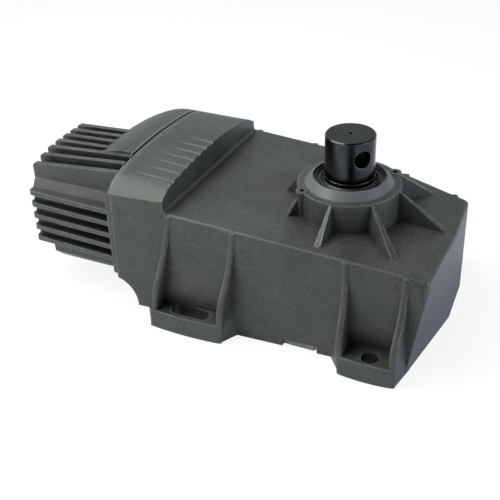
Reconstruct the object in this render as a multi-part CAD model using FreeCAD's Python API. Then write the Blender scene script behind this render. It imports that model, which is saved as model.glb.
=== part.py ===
"""Gear motor for a swing gate, with finned motor, cast gearbox and vertical output shaft.

Millimetres. The origin is on the output shaft's axis, at the plane that the feet stand on.
+Z is up, and the motor lies towards -X.
"""
import FreeCAD
import Part
import math
import os

Vector = FreeCAD.Vector
UP = Vector(0, 0, 1)
ALONG = Vector(1, 0, 0)
ACROSS = Vector(0, 1, 0)

# Clearances
running_clearance = 0.04
seat_clearance = 0.05
gasket_thickness = 1.0
flange_gasket_thickness = 0.5

# Gearbox casting
shaft_end_x = 76.8
shaft_end_half_width = 67.6
motor_end_half_width = 78.3
back_half_width = 79.4
back_bend_x = -19.0
back_corner_setback = 3.6
back_corner_y = 50.4
seam_x = -148.0
step_x = -107.6
top_height = 78.0
top_slope = 0.076
wall_draft = 0.026
front_draft = 0.045
wall_thickness = 6.0
top_thickness = 6.0
end_wall_thickness = 14.0
front_corner_radius = 5.0
back_corner_radius = 5.0
bend_radius = 90.0
top_edge_radius = 2.6
corner_sweep = 9.8
corner_sweep_width = 75.0
corner_sweep_height = 70.0
rim_start_x = -118.0
scoop_radius = 21.0
scoop_floor = 6.5

# Hump over the worm, measured above the inclined top at the step
crown_slope = 0.04
hump_crest_rise = 19.5
hump_shoulder_rise = 16.6
hump_shoulder_half = 48.0
hump_edge_rise = 7.5
hump_edge_fullness = 2.2
cove_radius = 2.6
flute_radius = 2.4
flute_depth = 1.2
flute_length = 34.0

# Shaft boss
boss_radius = 36.0
boss_root_radius = 38.0
boss_rim_height = 97.0
collar_height = 5.4
collar_root_radius = 31.0
collar_rim_width = 1.2
rib_crest = 1.6
rib_draft = 0.075
rib_end_radius = 1.5
rib_end_share = 0.78
rib_reach = {0: 70.5, 45: 66.0, 90: 60.0, 135: 50.0, 180: 47.0, 225: 47.0, 270: 60.0, 315: 72.0}
lug_circle_radius = 35.0
lug_radius = 4.4
lug_hole_radius = 2.0
lug_hole_depth = 14.0
lug_rise = 0.4

# Feet
slot_foot_overhang = 14.1
hole_foot_overhang = 18.0
foot_thickness = 15.0
slot_edge = 9.1
foot_hole_edge = 8.0
foot_bow = 1.6
foot_corner_radius = 3.0
gusset_thickness = 5.0
gusset_round = 1.8
slot_foot_x = (-117.5, -60.0)
hole_foot_x = (24.5, 64.6)
slot_foot_flare = (0.5, 9.0)
hole_foot_flare = (16.0, 3.4)
slot_gusset_lean = (11.5, 6.5)
hole_gusset_lean = (-5.0, 0.0)
slot_gusset_lip = 7.0
hole_gusset_lip = 5.0
gusset_proud = 0.8
gusset_drop = 0.5
gusset_root = 2.0
gusset_hollow_share = 0.72
flare_edge = 2.0
flare_rise = 46.0
slot_centre_x = -86.5
slot_length = 30.0
slot_width = 11.0
foot_hole_x = 45.5
foot_hole_radius = 6.0

# Bottom cover
cover_thickness = 6.0
cover_ledge = 3.0
cover_gap = 0.3
cover_screw_inset = 10.5
cover_screw_x = (-104.0, -30.0, 10.0, 57.0)
cover_screw_radius = 2.5
cover_screw_head_radius = 5.0
cover_screw_length = 20.0
cover_post_radius = 6.0
cover_post_height = 20.0
notch_x = (-20.0, 5.0)
notch_height = 5.0
tab_thickness = 3.5
tab_setback = 2.0

# Motor casting
motor_axis_y = -25.5
motor_axis_drop = 22.0
motor_end_x = -227.0
flange_thickness = 5.0
motor_core_radius = 35.0
motor_bore_radius = 31.0
motor_end_thickness = 5.0
fin_pitch = 9.7
fin_thickness = 3.6
fin_round = 3.0
side_fin_count = 5
top_fin_reach = (39.6, 42.4, 44.4, 45.2, 45.5, 45.6, 45.6)
top_fin_rise = (6.0, 5.5, 4.5, 3.0, 3.0, 3.0, 3.0)
top_fin_count = len(top_fin_reach)
side_fin_reach = 41.0
side_fin_rise = 3.2
valley_height = 33.0
panel_top_half = 28.0
panel_side_height = 17.0
block_half_width = 37.0
block_setback = 13.0
block_depth = 38.2
side_wall_half = 35.6
block_chamfer = 8.0
hood_flat = 6.0
hood_radius = 48.0
flange_chamfer = 3.0
lobe_wall = 2.6

# Motor inside
stator_length = 36.0
stator_inner_radius = 17.5
stator_slot_count = 12
stator_slot_width = 3.2
air_gap = 0.4
winding_length = 9.0
winding_depth = 8.0
rotor_shaft_radius = 7.5
rotor_rear_radius = 6.0
end_ring_length = 5.0
stator_front_gap = 13.0
plate_radius = 33.0
plate_thickness = 6.0
plate_hub_radius = 22.5
plate_screw_radius = 2.0
plate_screw_head_radius = 3.2
plate_screw_head_height = 3.0
plate_screw_depth = 7.0
plate_screw_count = 4
motor_seal_radius = 13.0
motor_seal_width = 6.0
front_bearing_radius = 17.5
front_bearing_width = 11.0
rear_bearing_radius = 16.0
rear_bearing_width = 10.0
bearing_hub_wall = 4.0

# Tie screws through the motor casting
tie_screw_radius = 2.5
tie_head_radius = 4.0
tie_head_height = 4.0
tie_head_gap = 0.4
tie_wall = 1.0
tie_grip = 9.0
tie_upper_deg = 42.5
tie_lower_deg = -50.0

# Gear train
pressure_angle = math.radians(20.0)
backlash = 0.28
worm_module = 1.0
worm_pitch_radius = 9.0
worm_length = 26.0
worm_bore_radius = 5.0
wheel_teeth = 50
wheel_width = 10.0
wheel_hub_radius = 13.0
wheel_hub_width = 16.0
first_module = 1.5
first_pinion_teeth = 10
first_gear_teeth = 48
first_gear_width = 11.0
first_gear_bottom = 15.5
second_module = 2.25
second_pinion_teeth = 10
second_gear_teeth = 44
second_gear_width = 18.0
second_gear_bottom = 31.0
pinion_shift = 0.42
pinion_overhang = 1.0
intermediate_bearing_deg = 158.0
web_recess = 2.5
web_rim = 5.0
train_shaft_radius = 7.5
train_journal_radius = 6.0
bush_wall = 2.5
bush_length = 10.0
bush_floor = 3.0
bush_boss_wall = 3.5
cover_boss_height = 13.5
upper_journal_gap = 5.0
key_width = 4.0
key_height = 4.0
key_margin = 1.5

# Output shaft
output_radius = 17.5
output_end_relief = 0.25
output_top = 133.2
output_chamfer = 0.8
output_foot_radius = 12.5
output_bush_wall = 3.5
output_boss_height = 16.0
output_collar_radius = 21.0
output_collar_height = 5.0
cross_hole_radius = 6.25
cross_hole_drop = 12.6
cross_hole_deg = -40.0
output_seam_deg = 52.5
centre_hole_radius = 1.75
centre_hole_depth = 10.0
output_key_width = 10.0
output_key_height = 8.0
spacer_radius = 20.5
upper_bearing_radius = 31.0
upper_bearing_width = 14.0
upper_bearing_ball_radius = 4.2
upper_bearing_ball_count = 11
bearing_ring_wall = 4.2
circlip_thickness = 1.5
circlip_depth = 1.6
circlip_width = 4.0
seal_radius = 25.0
seal_width = 8.0
seal_recess = 1.8

# Cable inlet on the back wall
gland_x = -128.0
gland_z = 60.0
gland_radius = 8.0
gland_bore_radius = 4.0
gland_flange_radius = 11.0
gland_flange_width = 4.0
gland_nut_radius = 10.5
gland_nut_width = 7.0
gland_pad_radius = 14.0
gland_pad_rise = 1.5

# Positions that follow from the sizes above
motor_axis_z = top_height - motor_axis_drop
motor_axis = Vector(0, motor_axis_y, motor_axis_z)
flange_back_x = seam_x - flange_gasket_thickness
motor_face_x = flange_back_x - flange_thickness
first_centres = first_module * (first_pinion_teeth + first_gear_teeth) / 2
second_centres = second_module * (second_pinion_teeth + second_gear_teeth) / 2
worm_centres = worm_pitch_radius + worm_module * wheel_teeth / 2
intermediate_angle = math.radians(intermediate_bearing_deg)
intermediate_x = second_centres * math.cos(intermediate_angle)
intermediate_y = second_centres * math.sin(intermediate_angle)
wheel_y = motor_axis_y + worm_centres
wheel_x = intermediate_x - math.sqrt(first_centres ** 2 - (wheel_y - intermediate_y) ** 2)
second_gear_top = second_gear_bottom + second_gear_width
bearing_top = boss_rim_height - 7.0
bearing_bottom = bearing_top - upper_bearing_width
collar_top = boss_rim_height + collar_height
stator_front_x = motor_face_x - stator_front_gap
stator_rear_x = stator_front_x - stator_length
plate_front_x = seam_x + plate_thickness
front_bearing_x = motor_face_x + 1.0
motor_inner_end_x = motor_end_x + motor_end_thickness
seal_pocket_x = front_bearing_x + front_bearing_width + 2.5
hub_end_x = seal_pocket_x + motor_seal_width
tie_upper_circle = plate_radius + tie_screw_radius + tie_wall
tie_lower_circle = motor_core_radius + tie_head_radius + tie_head_gap
lobe_radius = tie_lower_circle + tie_screw_radius + lobe_wall
hood_front_y = motor_axis_y - fin_pitch + fin_thickness / 2


def top_at(x):
    """Height of the inclined top face at a place along the casting."""
    return top_height - top_slope * x


def cylinder(radius, start, direction, length):
    """A cylinder from a start point along a direction."""
    return Part.makeCylinder(radius, length, start, direction)


def tube(outer, inner, start, direction, length):
    """A plain ring with a through bore."""
    return cylinder(outer, start, direction, length).cut(cylinder(inner, start, direction, length))


def prism(points, direction):
    """A flat polygon pushed along a direction."""
    return Part.Face(Part.makePolygon(points + points[:1])).extrude(direction)


def block(x_range, y_range, z_range):
    """A box between pairs of limits, given in either order."""
    lows = [min(pair) for pair in (x_range, y_range, z_range)]
    sizes = [abs(pair[1] - pair[0]) for pair in (x_range, y_range, z_range)]
    return Part.makeBox(*sizes, Vector(*lows))


def inset_outline(points, insets):
    """A convex outline, listed counter-clockwise, with each side moved inwards by its own amount."""
    count = len(points)
    lines = []
    for index in range(count):
        start, end = points[index], points[(index + 1) % count]
        length = math.hypot(end[0] - start[0], end[1] - start[1])
        normal = (-(end[1] - start[1]) / length, (end[0] - start[0]) / length)
        lines.append((normal, normal[0] * start[0] + normal[1] * start[1] + insets[index]))
    moved = []
    for index in range(count):
        (a, c), (b, d) = lines[index - 1], lines[index]
        scale = a[0] * b[1] - a[1] * b[0]
        moved.append(((c * b[1] - d * a[1]) / scale, (a[0] * d - b[0] * c) / scale))
    return moved


def frustum(points, low, high, drafts):
    """A block over an outline that is given at height zero, with a draft for each side."""
    rings = []
    for height in (low, high):
        outline = inset_outline(points, [draft * height for draft in drafts])
        rings.append([Vector(x, y, height) for x, y in outline])
    bottom, top = rings
    outward = (bottom[::-1], top)
    faces = [Part.Face(Part.makePolygon(ring + ring[:1])) for ring in outward]
    for index in range(len(points)):
        after = (index + 1) % len(points)
        corner = [bottom[index], bottom[after], top[after], top[index]]
        faces.append(Part.Face(Part.makePolygon(corner + corner[:1])))
    return Part.makeSolid(Part.makeShell(faces))


def upright_edges(solid):
    """The edges of a drafted block that climb from its bottom."""
    found = []
    climb = solid.BoundBox.ZLength / 2
    for edge in solid.Edges:
        ends = [vertex.Point for vertex in edge.Vertexes]
        if abs(ends[0].z - ends[-1].z) > climb:
            found.append(edge)
    return found


base_outline = [
    (motor_face_x, -motor_end_half_width),
    (shaft_end_x, -shaft_end_half_width),
    (shaft_end_x, 0.0),
    (shaft_end_x - back_corner_setback, back_corner_y),
    (back_bend_x, back_half_width),
    (motor_face_x, back_half_width),
]
base_draft = [front_draft, 0.0, 0.0, wall_draft, wall_draft, 0.0]
corner_radius = {1: front_corner_radius, 3: back_corner_radius, 4: bend_radius}


def half_width_at(x, z):
    """Distance from the middle plane to the outside of the front wall."""
    share = (x - motor_face_x) / (shaft_end_x - motor_face_x)
    return motor_end_half_width + share * (shaft_end_half_width - motor_end_half_width) - front_draft * z


def back_width_at(x, z):
    """Distance from the middle plane to the outside of the back wall, which bends in at the shaft end."""
    run = shaft_end_x - back_corner_setback - back_bend_x
    fall = back_half_width - back_corner_y
    bend = max(x - back_bend_x, 0.0) / run * fall
    return back_half_width - bend - wall_draft * z


def wall_at(side, x, z):
    """Distance from the middle plane to the outside of the wall on one side."""
    return half_width_at(x, z) if side < 0 else back_width_at(x, z)


def corner_facet(inset):
    """The half-space that draws in the front corner of the shaft end towards the floor."""
    corner = Vector(shaft_end_x, -shaft_end_half_width, 0)
    along = corner + Vector(0, corner_sweep_width, 0)
    beside = corner - Vector(corner_sweep, 0, 0)
    above = corner + Vector(0, 0, corner_sweep_height)
    first = (beside - along).normalize()
    normal = first.cross(above - along).normalize()
    if normal.x < 0:
        normal = -normal
    second = normal.cross(first)
    centre = along - normal * inset
    reach = 400.0
    corners = [(-1, -1), (1, -1), (1, 1), (-1, 1)]
    points = [centre + first * (a * reach) + second * (b * reach) for a, b in corners]
    return prism(points, normal * reach)


def crown_rise(y):
    """Rise of the hump's crown above the inclined top, between its shoulders."""
    fall = hump_crest_rise - hump_shoulder_rise
    radius = (hump_shoulder_half ** 2 + fall ** 2) / (2 * fall)
    return hump_crest_rise - radius + math.sqrt(radius ** 2 - y ** 2)


def crown_at(x):
    """Height that the hump's crown is measured from, which climbs towards the motor."""
    return top_at(step_x) + crown_slope * (step_x - x)


def crown_wire(x, floor):
    """Outline across the hump: a climbing crown between level edges."""
    edge_half = half_width_at(step_x, top_at(step_x)) + 1.0
    edge = top_at(step_x) + hump_edge_rise
    shoulder = crown_at(x) + hump_shoulder_rise
    crest = crown_at(x) + hump_crest_rise
    middle_half = (hump_shoulder_half + edge_half) / 2
    middle = (shoulder + edge) / 2 + hump_edge_fullness
    corners = [
        Vector(x, -edge_half, edge),
        Vector(x, -hump_shoulder_half, shoulder),
        Vector(x, hump_shoulder_half, shoulder),
        Vector(x, edge_half, edge),
        Vector(x, edge_half, floor),
        Vector(x, -edge_half, floor),
    ]
    through = [Vector(x, -middle_half, middle), Vector(x, 0, crest), Vector(x, middle_half, middle)]
    edges = []
    for index in range(3):
        edges.append(Part.Arc(corners[index], through[index], corners[index + 1]).toShape())
    for index in range(3, 6):
        edges.append(Part.LineSegment(corners[index], corners[(index + 1) % 6]).toShape())
    return Part.Wire(edges)


def crown_prism(start_x, end_x):
    """Everything under the hump's crowned top, between two places along the casting."""
    return Part.makeLoft([crown_wire(start_x, -10.0), crown_wire(end_x, -10.0)], True, True)


def round_corners(body, inset):
    """Round the upright edges at the shaft end, for an outline that lies inside the casting's."""
    for corner, radius in corner_radius.items():
        edges = []
        for edge in upright_edges(body):
            straight = isinstance(edge.Curve, Part.Line)
            if straight and nearest_corner(edge) == corner and is_corner(body, edge):
                edges.append(edge)
        body = body.makeFillet(max(radius - inset, 1.5), edges)
    return body


def nearest_corner(edge):
    """Number of the casting's corner that an upright edge belongs to."""
    centre = edge.BoundBox.Center
    gaps = [math.hypot(x - centre.x, y - centre.y) for x, y in base_outline]
    return gaps.index(min(gaps))


def is_corner(body, edge):
    """Whether two flat faces meet at an edge."""
    faces = body.ancestorsOfType(edge, Part.Face)
    return all(isinstance(face.Surface, Part.Plane) for face in faces)


def casting_block():
    """The gearbox's drafted block under the inclined top, with rounded corners and top edge."""
    tall = top_at(motor_face_x) + hump_crest_rise + 20.0
    body = round_corners(frustum(base_outline, 0.0, tall, base_draft), 0.0)
    left, right = motor_face_x - 1.0, shaft_end_x + 1.0
    above = prism(
        [
            Vector(left, -200, top_at(left)),
            Vector(right, -200, top_at(right)),
            Vector(right, -200, tall + 10.0),
            Vector(left, -200, tall + 10.0),
        ],
        Vector(0, 400, 0),
    )
    body = body.cut(above)
    rim = []
    for edge in body.Edges:
        middle = edge.valueAt((edge.FirstParameter + edge.LastParameter) / 2)
        ends = [vertex.Point for vertex in edge.Vertexes]
        on_top = all(abs(p.z - top_at(p.x)) < 0.01 for p in ends + [middle])
        if on_top and middle.x > motor_face_x + 0.1:
            rim.append(edge)
    return body.makeFillet(top_edge_radius, rim).cut(corner_facet(0.0))


def hump_block():
    """The crowned hump at the motor end, with its coved step and fluted crest."""
    tall = top_at(motor_face_x) + hump_crest_rise + 10.0
    foot_x = step_x + cove_radius
    floor = top_height / 2
    cove_mid = cove_radius * (1 - math.sqrt(0.5))
    start = Vector(foot_x, -200, top_at(foot_x))
    middle = Vector(step_x + cove_mid, -200, top_at(step_x) + cove_mid)
    end = Vector(step_x, -200, top_at(step_x) + cove_radius)
    corners = [end, Vector(step_x - 1.0, -200, tall), Vector(motor_face_x, -200, tall)]
    corners += [Vector(motor_face_x, -200, floor), Vector(foot_x, -200, floor), start]
    edges = [Part.Arc(start, middle, end).toShape()]
    for first, second in zip(corners, corners[1:]):
        edges.append(Part.LineSegment(first, second).toShape())
    side = Part.Face(Part.Wire(edges)).extrude(Vector(0, 400, 0))
    hump = frustum(base_outline, 0.0, tall, base_draft).common(side)
    hump = hump.common(crown_prism(motor_face_x - 1.0, foot_x + 1.0))
    fade = flute_depth / flute_length
    heading = Vector(-1, 0, crown_slope + fade)
    for index in range(top_fin_count):
        y = motor_axis_y + (index - (top_fin_count - 1) / 2) * fin_pitch
        z = top_at(step_x) + crown_rise(y) - flute_depth + flute_radius
        start = Vector(step_x, y, z) - heading * cove_radius
        hump = hump.cut(cylinder(flute_radius, start, heading, flute_length * 1.5))
    return hump


def boss():
    """The raised boss round the shaft, with collar, radial ribs and two drilled lugs."""
    root = top_height / 2
    form = Part.makeCone(boss_root_radius, boss_radius, boss_rim_height - root, Vector(0, 0, root))
    collar_rim = seal_radius + collar_rim_width
    form = form.fuse(
        Part.makeCone(collar_root_radius, collar_rim, collar_height, Vector(0, 0, boss_rim_height))
    )
    for degrees, reach in rib_reach.items():
        form = form.fuse(rib(degrees, reach, root))
    for place in lug_places():
        start = Vector(place.x, place.y, root)
        form = form.fuse(cylinder(lug_radius, start, UP, boss_rim_height + lug_rise - root))
    return form


def rib(degrees, reach, root):
    """A drafted blade from the boss's rim down to the top face, with a rounded end."""
    half = rib_crest / 2 + rib_draft * boss_rim_height
    inner = seal_radius + collar_rim_width
    outline = [(inner, -half), (reach, -half), (reach, half), (inner, half)]
    blade = frustum(outline, root, boss_rim_height, [rib_draft, 0.0, rib_draft, 0.0])
    end = top_at(reach * math.cos(math.radians(degrees)))
    crest = boss_rim_height - 0.5
    profile = [
        Vector(inner, -half, root),
        Vector(reach, -half, root),
        Vector(reach, -half, end),
        Vector(boss_radius, -half, crest),
        Vector(inner, -half, crest),
    ]
    blade = blade.common(prism(profile, Vector(0, 2 * half, 0)))
    at_end = [edge for edge in blade.Edges if edge.BoundBox.XMin > reach - 0.5]
    ends = [edge for edge in at_end if edge.BoundBox.ZLength > edge.BoundBox.YLength]
    end_half = rib_crest / 2 + rib_draft * (boss_rim_height - end)
    blade = blade.makeFillet(min(rib_end_radius, rib_end_share * end_half), ends)
    blade.rotate(Vector(), UP, degrees)
    return blade


def lug_places():
    """Centres of the two lugs, opposite each other on the boss."""
    half = lug_circle_radius * math.sqrt(0.5)
    return [Vector(half, half, 0), Vector(-half, -half, 0)]


def slot_foot_reach(side):
    """How far a slotted foot stands out from the output axis, over the wall beside its slot."""
    return wall_at(side, slot_centre_x, 0) + slot_foot_overhang


def hole_foot_reach():
    """How far both drilled feet stand out from the output axis."""
    return wall_at(-1, foot_hole_x, 0) + hole_foot_overhang


def slot_line(side):
    """Distance of a slot's centre line from the output axis."""
    return slot_foot_reach(side) - slot_edge


def foot_hole_line():
    """Distance of the round foot holes from the output axis."""
    return hole_foot_reach() - foot_hole_edge


def foot(x_range, flare, side, leans, lip, reach):
    """One foot: a base plate between two gussets, which spread into the wall."""
    left, right = x_range
    inner = wall_at(side, right, 0) - wall_thickness
    front = -reach + foot_bow
    corners = [
        Vector(left, front, 0),
        Vector(right, front, 0),
        Vector(right, -inner, 0),
        Vector(left, -inner, 0),
    ]
    edges = [Part.Arc(corners[0], Vector((left + right) / 2, -reach, 0), corners[1]).toShape()]
    for index in range(1, 4):
        edges.append(Part.LineSegment(corners[index], corners[(index + 1) % 4]).toShape())
    plate = Part.Face(Part.Wire(edges)).extrude(Vector(0, 0, foot_thickness))
    fronts = [edge for edge in upright_edges(plate) if edge.BoundBox.YMax < front + 1.0]
    plate = plate.makeFillet(foot_corner_radius, fronts)
    for start, lean in zip((left, right - gusset_thickness), leans):
        plate = plate.fuse(gusset(start, lean, side, lip, inner, front))
    for edge_x, width, towards in ((left, flare[0], -1), (right, flare[1], 1)):
        plate = plate.fuse(flare_web(edge_x, width * towards, inner, front + foot_corner_radius))
    if side > 0:
        plate = plate.mirror(Vector(), ACROSS)
    return plate


def flare_web(edge_x, width, inner, front):
    """The wedge beside a gusset, wide on the floor and running out up the wall."""
    inside_x = edge_x - math.copysign(gusset_thickness / 2, width)
    low_front, high_front = Vector(edge_x, front, 0), Vector(edge_x, front, foot_thickness)
    low_wall, high_wall = Vector(edge_x + width, -inner, 0), Vector(edge_x + width, -inner, flare_edge)
    low_back, high_back = Vector(inside_x, -inner, 0), Vector(inside_x, -inner, flare_rise)
    outlines = [
        [low_front, low_wall, low_back],
        [low_front, high_front, high_wall, low_wall],
        [high_front, high_back, high_wall],
        [low_wall, high_wall, high_back, low_back],
        [low_front, low_back, high_back, high_front],
    ]
    faces = [Part.Face(Part.makePolygon(outline + outline[:1])) for outline in outlines]
    wedge = Part.makeSolid(Part.makeShell(faces))
    if wedge.Volume < 0:
        wedge.reverse()
    return wedge


def gusset(start, lean, side, lip, inner, front):
    """A leaning web from the foot's front edge up the wall, its rounded crest hollow above and full below."""
    middle_x = start + gusset_thickness / 2
    summit = top_at(middle_x + lean) - gusset_drop
    low = foot_thickness + lip
    slope = lean / summit
    wall_top = -wall_at(side, middle_x + lean, summit) - gusset_proud
    run, drop = wall_top - front, summit - low
    turn = 2 * math.atan2(run, drop)
    both_radii = drop / math.sin(turn)
    hollow = both_radii * gusset_hollow_share
    full = both_radii - hollow

    def corner(y, z):
        return Vector(start + slope * z, y, z)

    def on_hollow(angle):
        return corner(wall_top - hollow * (1 - math.cos(angle)), summit - hollow * math.sin(angle))

    def on_full(angle):
        return corner(front + full * (1 - math.cos(angle)), low + full * math.sin(angle))

    inside = -inner + gusset_root
    top_root, low_root = corner(inside, summit - gusset_root), corner(inside, 0)
    path = [on_hollow(0), top_root, low_root, corner(front, 0), on_full(0)]
    edges = [
        Part.Arc(on_full(0), on_full(turn / 2), on_full(turn)).toShape(),
        Part.Arc(on_full(turn), on_hollow(turn / 2), on_hollow(0)).toShape(),
    ]
    for first, second in zip(path, path[1:]):
        edges.append(Part.LineSegment(first, second).toShape())
    web = Part.Face(Part.Wire(edges)).extrude(Vector(gusset_thickness, 0, 0))
    crest = [edge for edge in web.Edges if isinstance(edge.Curve, Part.Circle)]
    return web.makeFillet(gusset_round, crest)


def slot_cutter(side):
    """A slot through a foot, with round ends."""
    half = (slot_length - slot_width) / 2
    y = side * slot_line(side)
    height = foot_thickness + 20.0
    cutter = block(
        (slot_centre_x - half, slot_centre_x + half),
        (y - slot_width / 2, y + slot_width / 2),
        (-10.0, height - 10.0),
    )
    for end in (-half, half):
        cutter = cutter.fuse(cylinder(slot_width / 2, Vector(slot_centre_x + end, y, -10.0), UP, height))
    return cutter


def cover_screw_places():
    """Where the bottom cover is screwed on, along both long walls."""
    places = []
    for x in cover_screw_x:
        for side in (-1, 1):
            places.append((x, side * (wall_at(side, x, 0) - cover_screw_inset)))
    return places


def cover_outline(inset):
    """The bottom opening's outline, cut square at the rim's motor end."""
    points = inset_outline(base_outline, [inset] * len(base_outline))
    left = rim_start_x + inset
    low = (left, -wall_at(-1, left, 0) + inset)
    high = (left, wall_at(1, left, 0) - inset)
    return [low] + points[1:5] + [high]


def cover_prism(inset, low, high):
    """An upright prism over the bottom opening's outline."""
    points = [Vector(x, y, low) for x, y in cover_outline(inset)]
    return round_corners(prism(points, Vector(0, 0, high - low)), inset).cut(corner_facet(inset))


def train_boss_centres():
    """Axes of the two gear shafts beside the output shaft."""
    return [Vector(wheel_x, wheel_y, 0), Vector(intermediate_x, intermediate_y, 0)]


def upper_bush_bottom(x):
    """Height at which an upper bush starts, under the ceiling."""
    return top_at(x) - top_thickness - bush_length - 2.0


def gearbox_housing():
    """The gearbox casting, open below and towards the motor."""
    body = casting_block().fuse(hump_block())
    outside_x = motor_face_x - 1.0
    scoop_low = scoop_floor + scoop_radius
    body = body.cut(block((outside_x, rim_start_x), (-200, 200), (-10, scoop_floor)))
    centre = Vector(motor_face_x, -200, scoop_floor)
    body = body.cut(cylinder(scoop_radius, centre, ACROSS, 400))
    body = body.cut(block((outside_x, motor_face_x + 0.5), (-200, 200), (-10, scoop_low)))
    body = body.cut(block((outside_x, seam_x), (-200, 200), (-10, 300)))
    lobe_start = Vector(seam_x, motor_axis_y, motor_axis_z)
    body = body.fuse(cylinder(lobe_radius, lobe_start, ALONG, end_wall_thickness))
    body = body.fuse(boss())
    for side in (-1, 1):
        body = body.fuse(
            foot(slot_foot_x, slot_foot_flare, side, slot_gusset_lean, slot_gusset_lip, slot_foot_reach(side))
        )
        body = body.fuse(
            foot(hole_foot_x, hole_foot_flare, side, hole_gusset_lean, hole_gusset_lip, hole_foot_reach())
        )
    pad_y = back_width_at(gland_x, gland_z) + gland_pad_rise
    body = body.fuse(cylinder(gland_pad_radius, Vector(gland_x, pad_y, gland_z), -ACROSS, wall_thickness))

    inner_x = seam_x + end_wall_thickness
    ceiling = [
        Vector(inner_x, -200, scoop_low - wall_thickness),
        Vector(rim_start_x + wall_thickness, -200, scoop_low - wall_thickness),
        Vector(rim_start_x + wall_thickness, -200, -1),
        Vector(shaft_end_x + 1.0, -200, -1),
        Vector(shaft_end_x + 1.0, -200, top_at(shaft_end_x + 1.0) - top_thickness),
        Vector(inner_x, -200, top_at(inner_x) - top_thickness),
    ]
    inside = inset_outline(base_outline, [wall_thickness] * len(base_outline))
    cavity = round_corners(frustum(inside, -1.0, 150.0, base_draft), wall_thickness)
    cavity = cavity.cut(corner_facet(wall_thickness))
    cavity = cavity.common(prism(ceiling, Vector(0, 400, 0)))
    body = body.cut(cavity)
    opening_top = cover_thickness + gasket_thickness
    body = body.cut(cover_prism(cover_ledge, -1.0, opening_top))

    extras = []
    room = cover_prism(wall_thickness - 1.0, 0.0, 150.0)
    for x, y in cover_screw_places():
        post = cylinder(cover_post_radius, Vector(x, y, opening_top), UP, cover_post_height)
        extras.append(post.common(room))
    for axis in train_boss_centres():
        low = upper_bush_bottom(axis.x)
        radius = train_journal_radius + bush_wall + bush_boss_wall
        extras.append(cylinder(radius, Vector(axis.x, axis.y, low), UP, top_at(axis.x) - 1.0 - low))
    seat_low = bearing_bottom - circlip_thickness - 5.0
    extras.append(cylinder(boss_radius, Vector(0, 0, seat_low), UP, bearing_bottom - seat_low + 5.0))
    for extra in extras:
        body = body.fuse(extra)

    for x, y in cover_screw_places():
        hole = cover_screw_radius + seat_clearance
        body = body.cut(cylinder(hole, Vector(x, y, 0), UP, cover_screw_length))
    for axis in train_boss_centres():
        low = upper_bush_bottom(axis.x)
        hole = train_journal_radius + bush_wall + seat_clearance
        body = body.cut(cylinder(hole, Vector(axis.x, axis.y, low - 1.0), UP, bush_length + 1.5))
    bore = upper_bearing_radius + seat_clearance
    bore_low = min(seat_low, top_at(upper_bearing_radius) - top_thickness) - 1.0
    body = body.cut(cylinder(bore, Vector(0, 0, bore_low), UP, bearing_top - bore_low))
    groove = circlip_groove()
    body = body.cut(groove)
    seal_bore = seal_radius + seat_clearance
    body = body.cut(cylinder(seal_bore, Vector(0, 0, bearing_top - 1.0), UP, collar_height + 20.0))
    for place in lug_places():
        start = Vector(place.x, place.y, boss_rim_height + lug_rise - lug_hole_depth)
        body = body.cut(cylinder(lug_hole_radius, start, UP, lug_hole_depth + 1.0))
    for side in (-1, 1):
        body = body.cut(slot_cutter(side))
        hole_start = Vector(foot_hole_x, side * foot_hole_line(), -10.0)
        body = body.cut(cylinder(foot_hole_radius, hole_start, UP, foot_thickness + 20.0))
        walls = [wall_at(side, x, 0) for x in notch_x]
        notch_y = (side * (min(walls) - wall_thickness - 2.0), side * (max(walls) + 1.0))
        body = body.cut(block(notch_x, notch_y, (-1, notch_height)))
    body = body.cut(plate_seat())
    for place in tie_places():
        hole = tie_screw_radius + seat_clearance
        body = body.cut(cylinder(hole, Vector(seam_x - 1.0, place.y, place.z), ALONG, tie_grip + 2.0))
    inlet = Vector(gland_x, pad_y + 1.0, gland_z)
    body = body.cut(cylinder(gland_radius + running_clearance, inlet, -ACROSS, wall_thickness * 3))
    return body.removeSplitter()


def circlip_groove():
    """The groove under the upper bearing, in the boss's bore."""
    low = Vector(0, 0, bearing_bottom - circlip_thickness - running_clearance)
    return cylinder(upper_bearing_radius + circlip_depth, low, UP, circlip_thickness + 2 * running_clearance)


def plate_seat():
    """The stepped hole in the end wall that takes the motor's bearing plate."""
    start = Vector(seam_x - 1.0, motor_axis_y, motor_axis_z)
    seat = cylinder(plate_radius + seat_clearance, start, ALONG, plate_thickness + 1.0)
    seat = seat.fuse(cylinder(plate_hub_radius + 0.5, start, ALONG, end_wall_thickness + 5.0))
    for place in plate_screw_places():
        point = Vector(seam_x, place.y, place.z)
        hole = plate_screw_radius + seat_clearance
        seat = seat.fuse(cylinder(hole, point, ALONG, plate_thickness + plate_screw_depth))
    return seat


def plate_screw_places():
    """Screw places on a circle between the bearing plate's hub and its edge."""
    radius = (plate_hub_radius + plate_radius) / 2
    places = []
    for index in range(plate_screw_count):
        angle = 2 * math.pi * (index + 0.5) / plate_screw_count
        places.append(motor_axis + Vector(0, radius * math.cos(angle), radius * math.sin(angle)))
    return places


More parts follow.
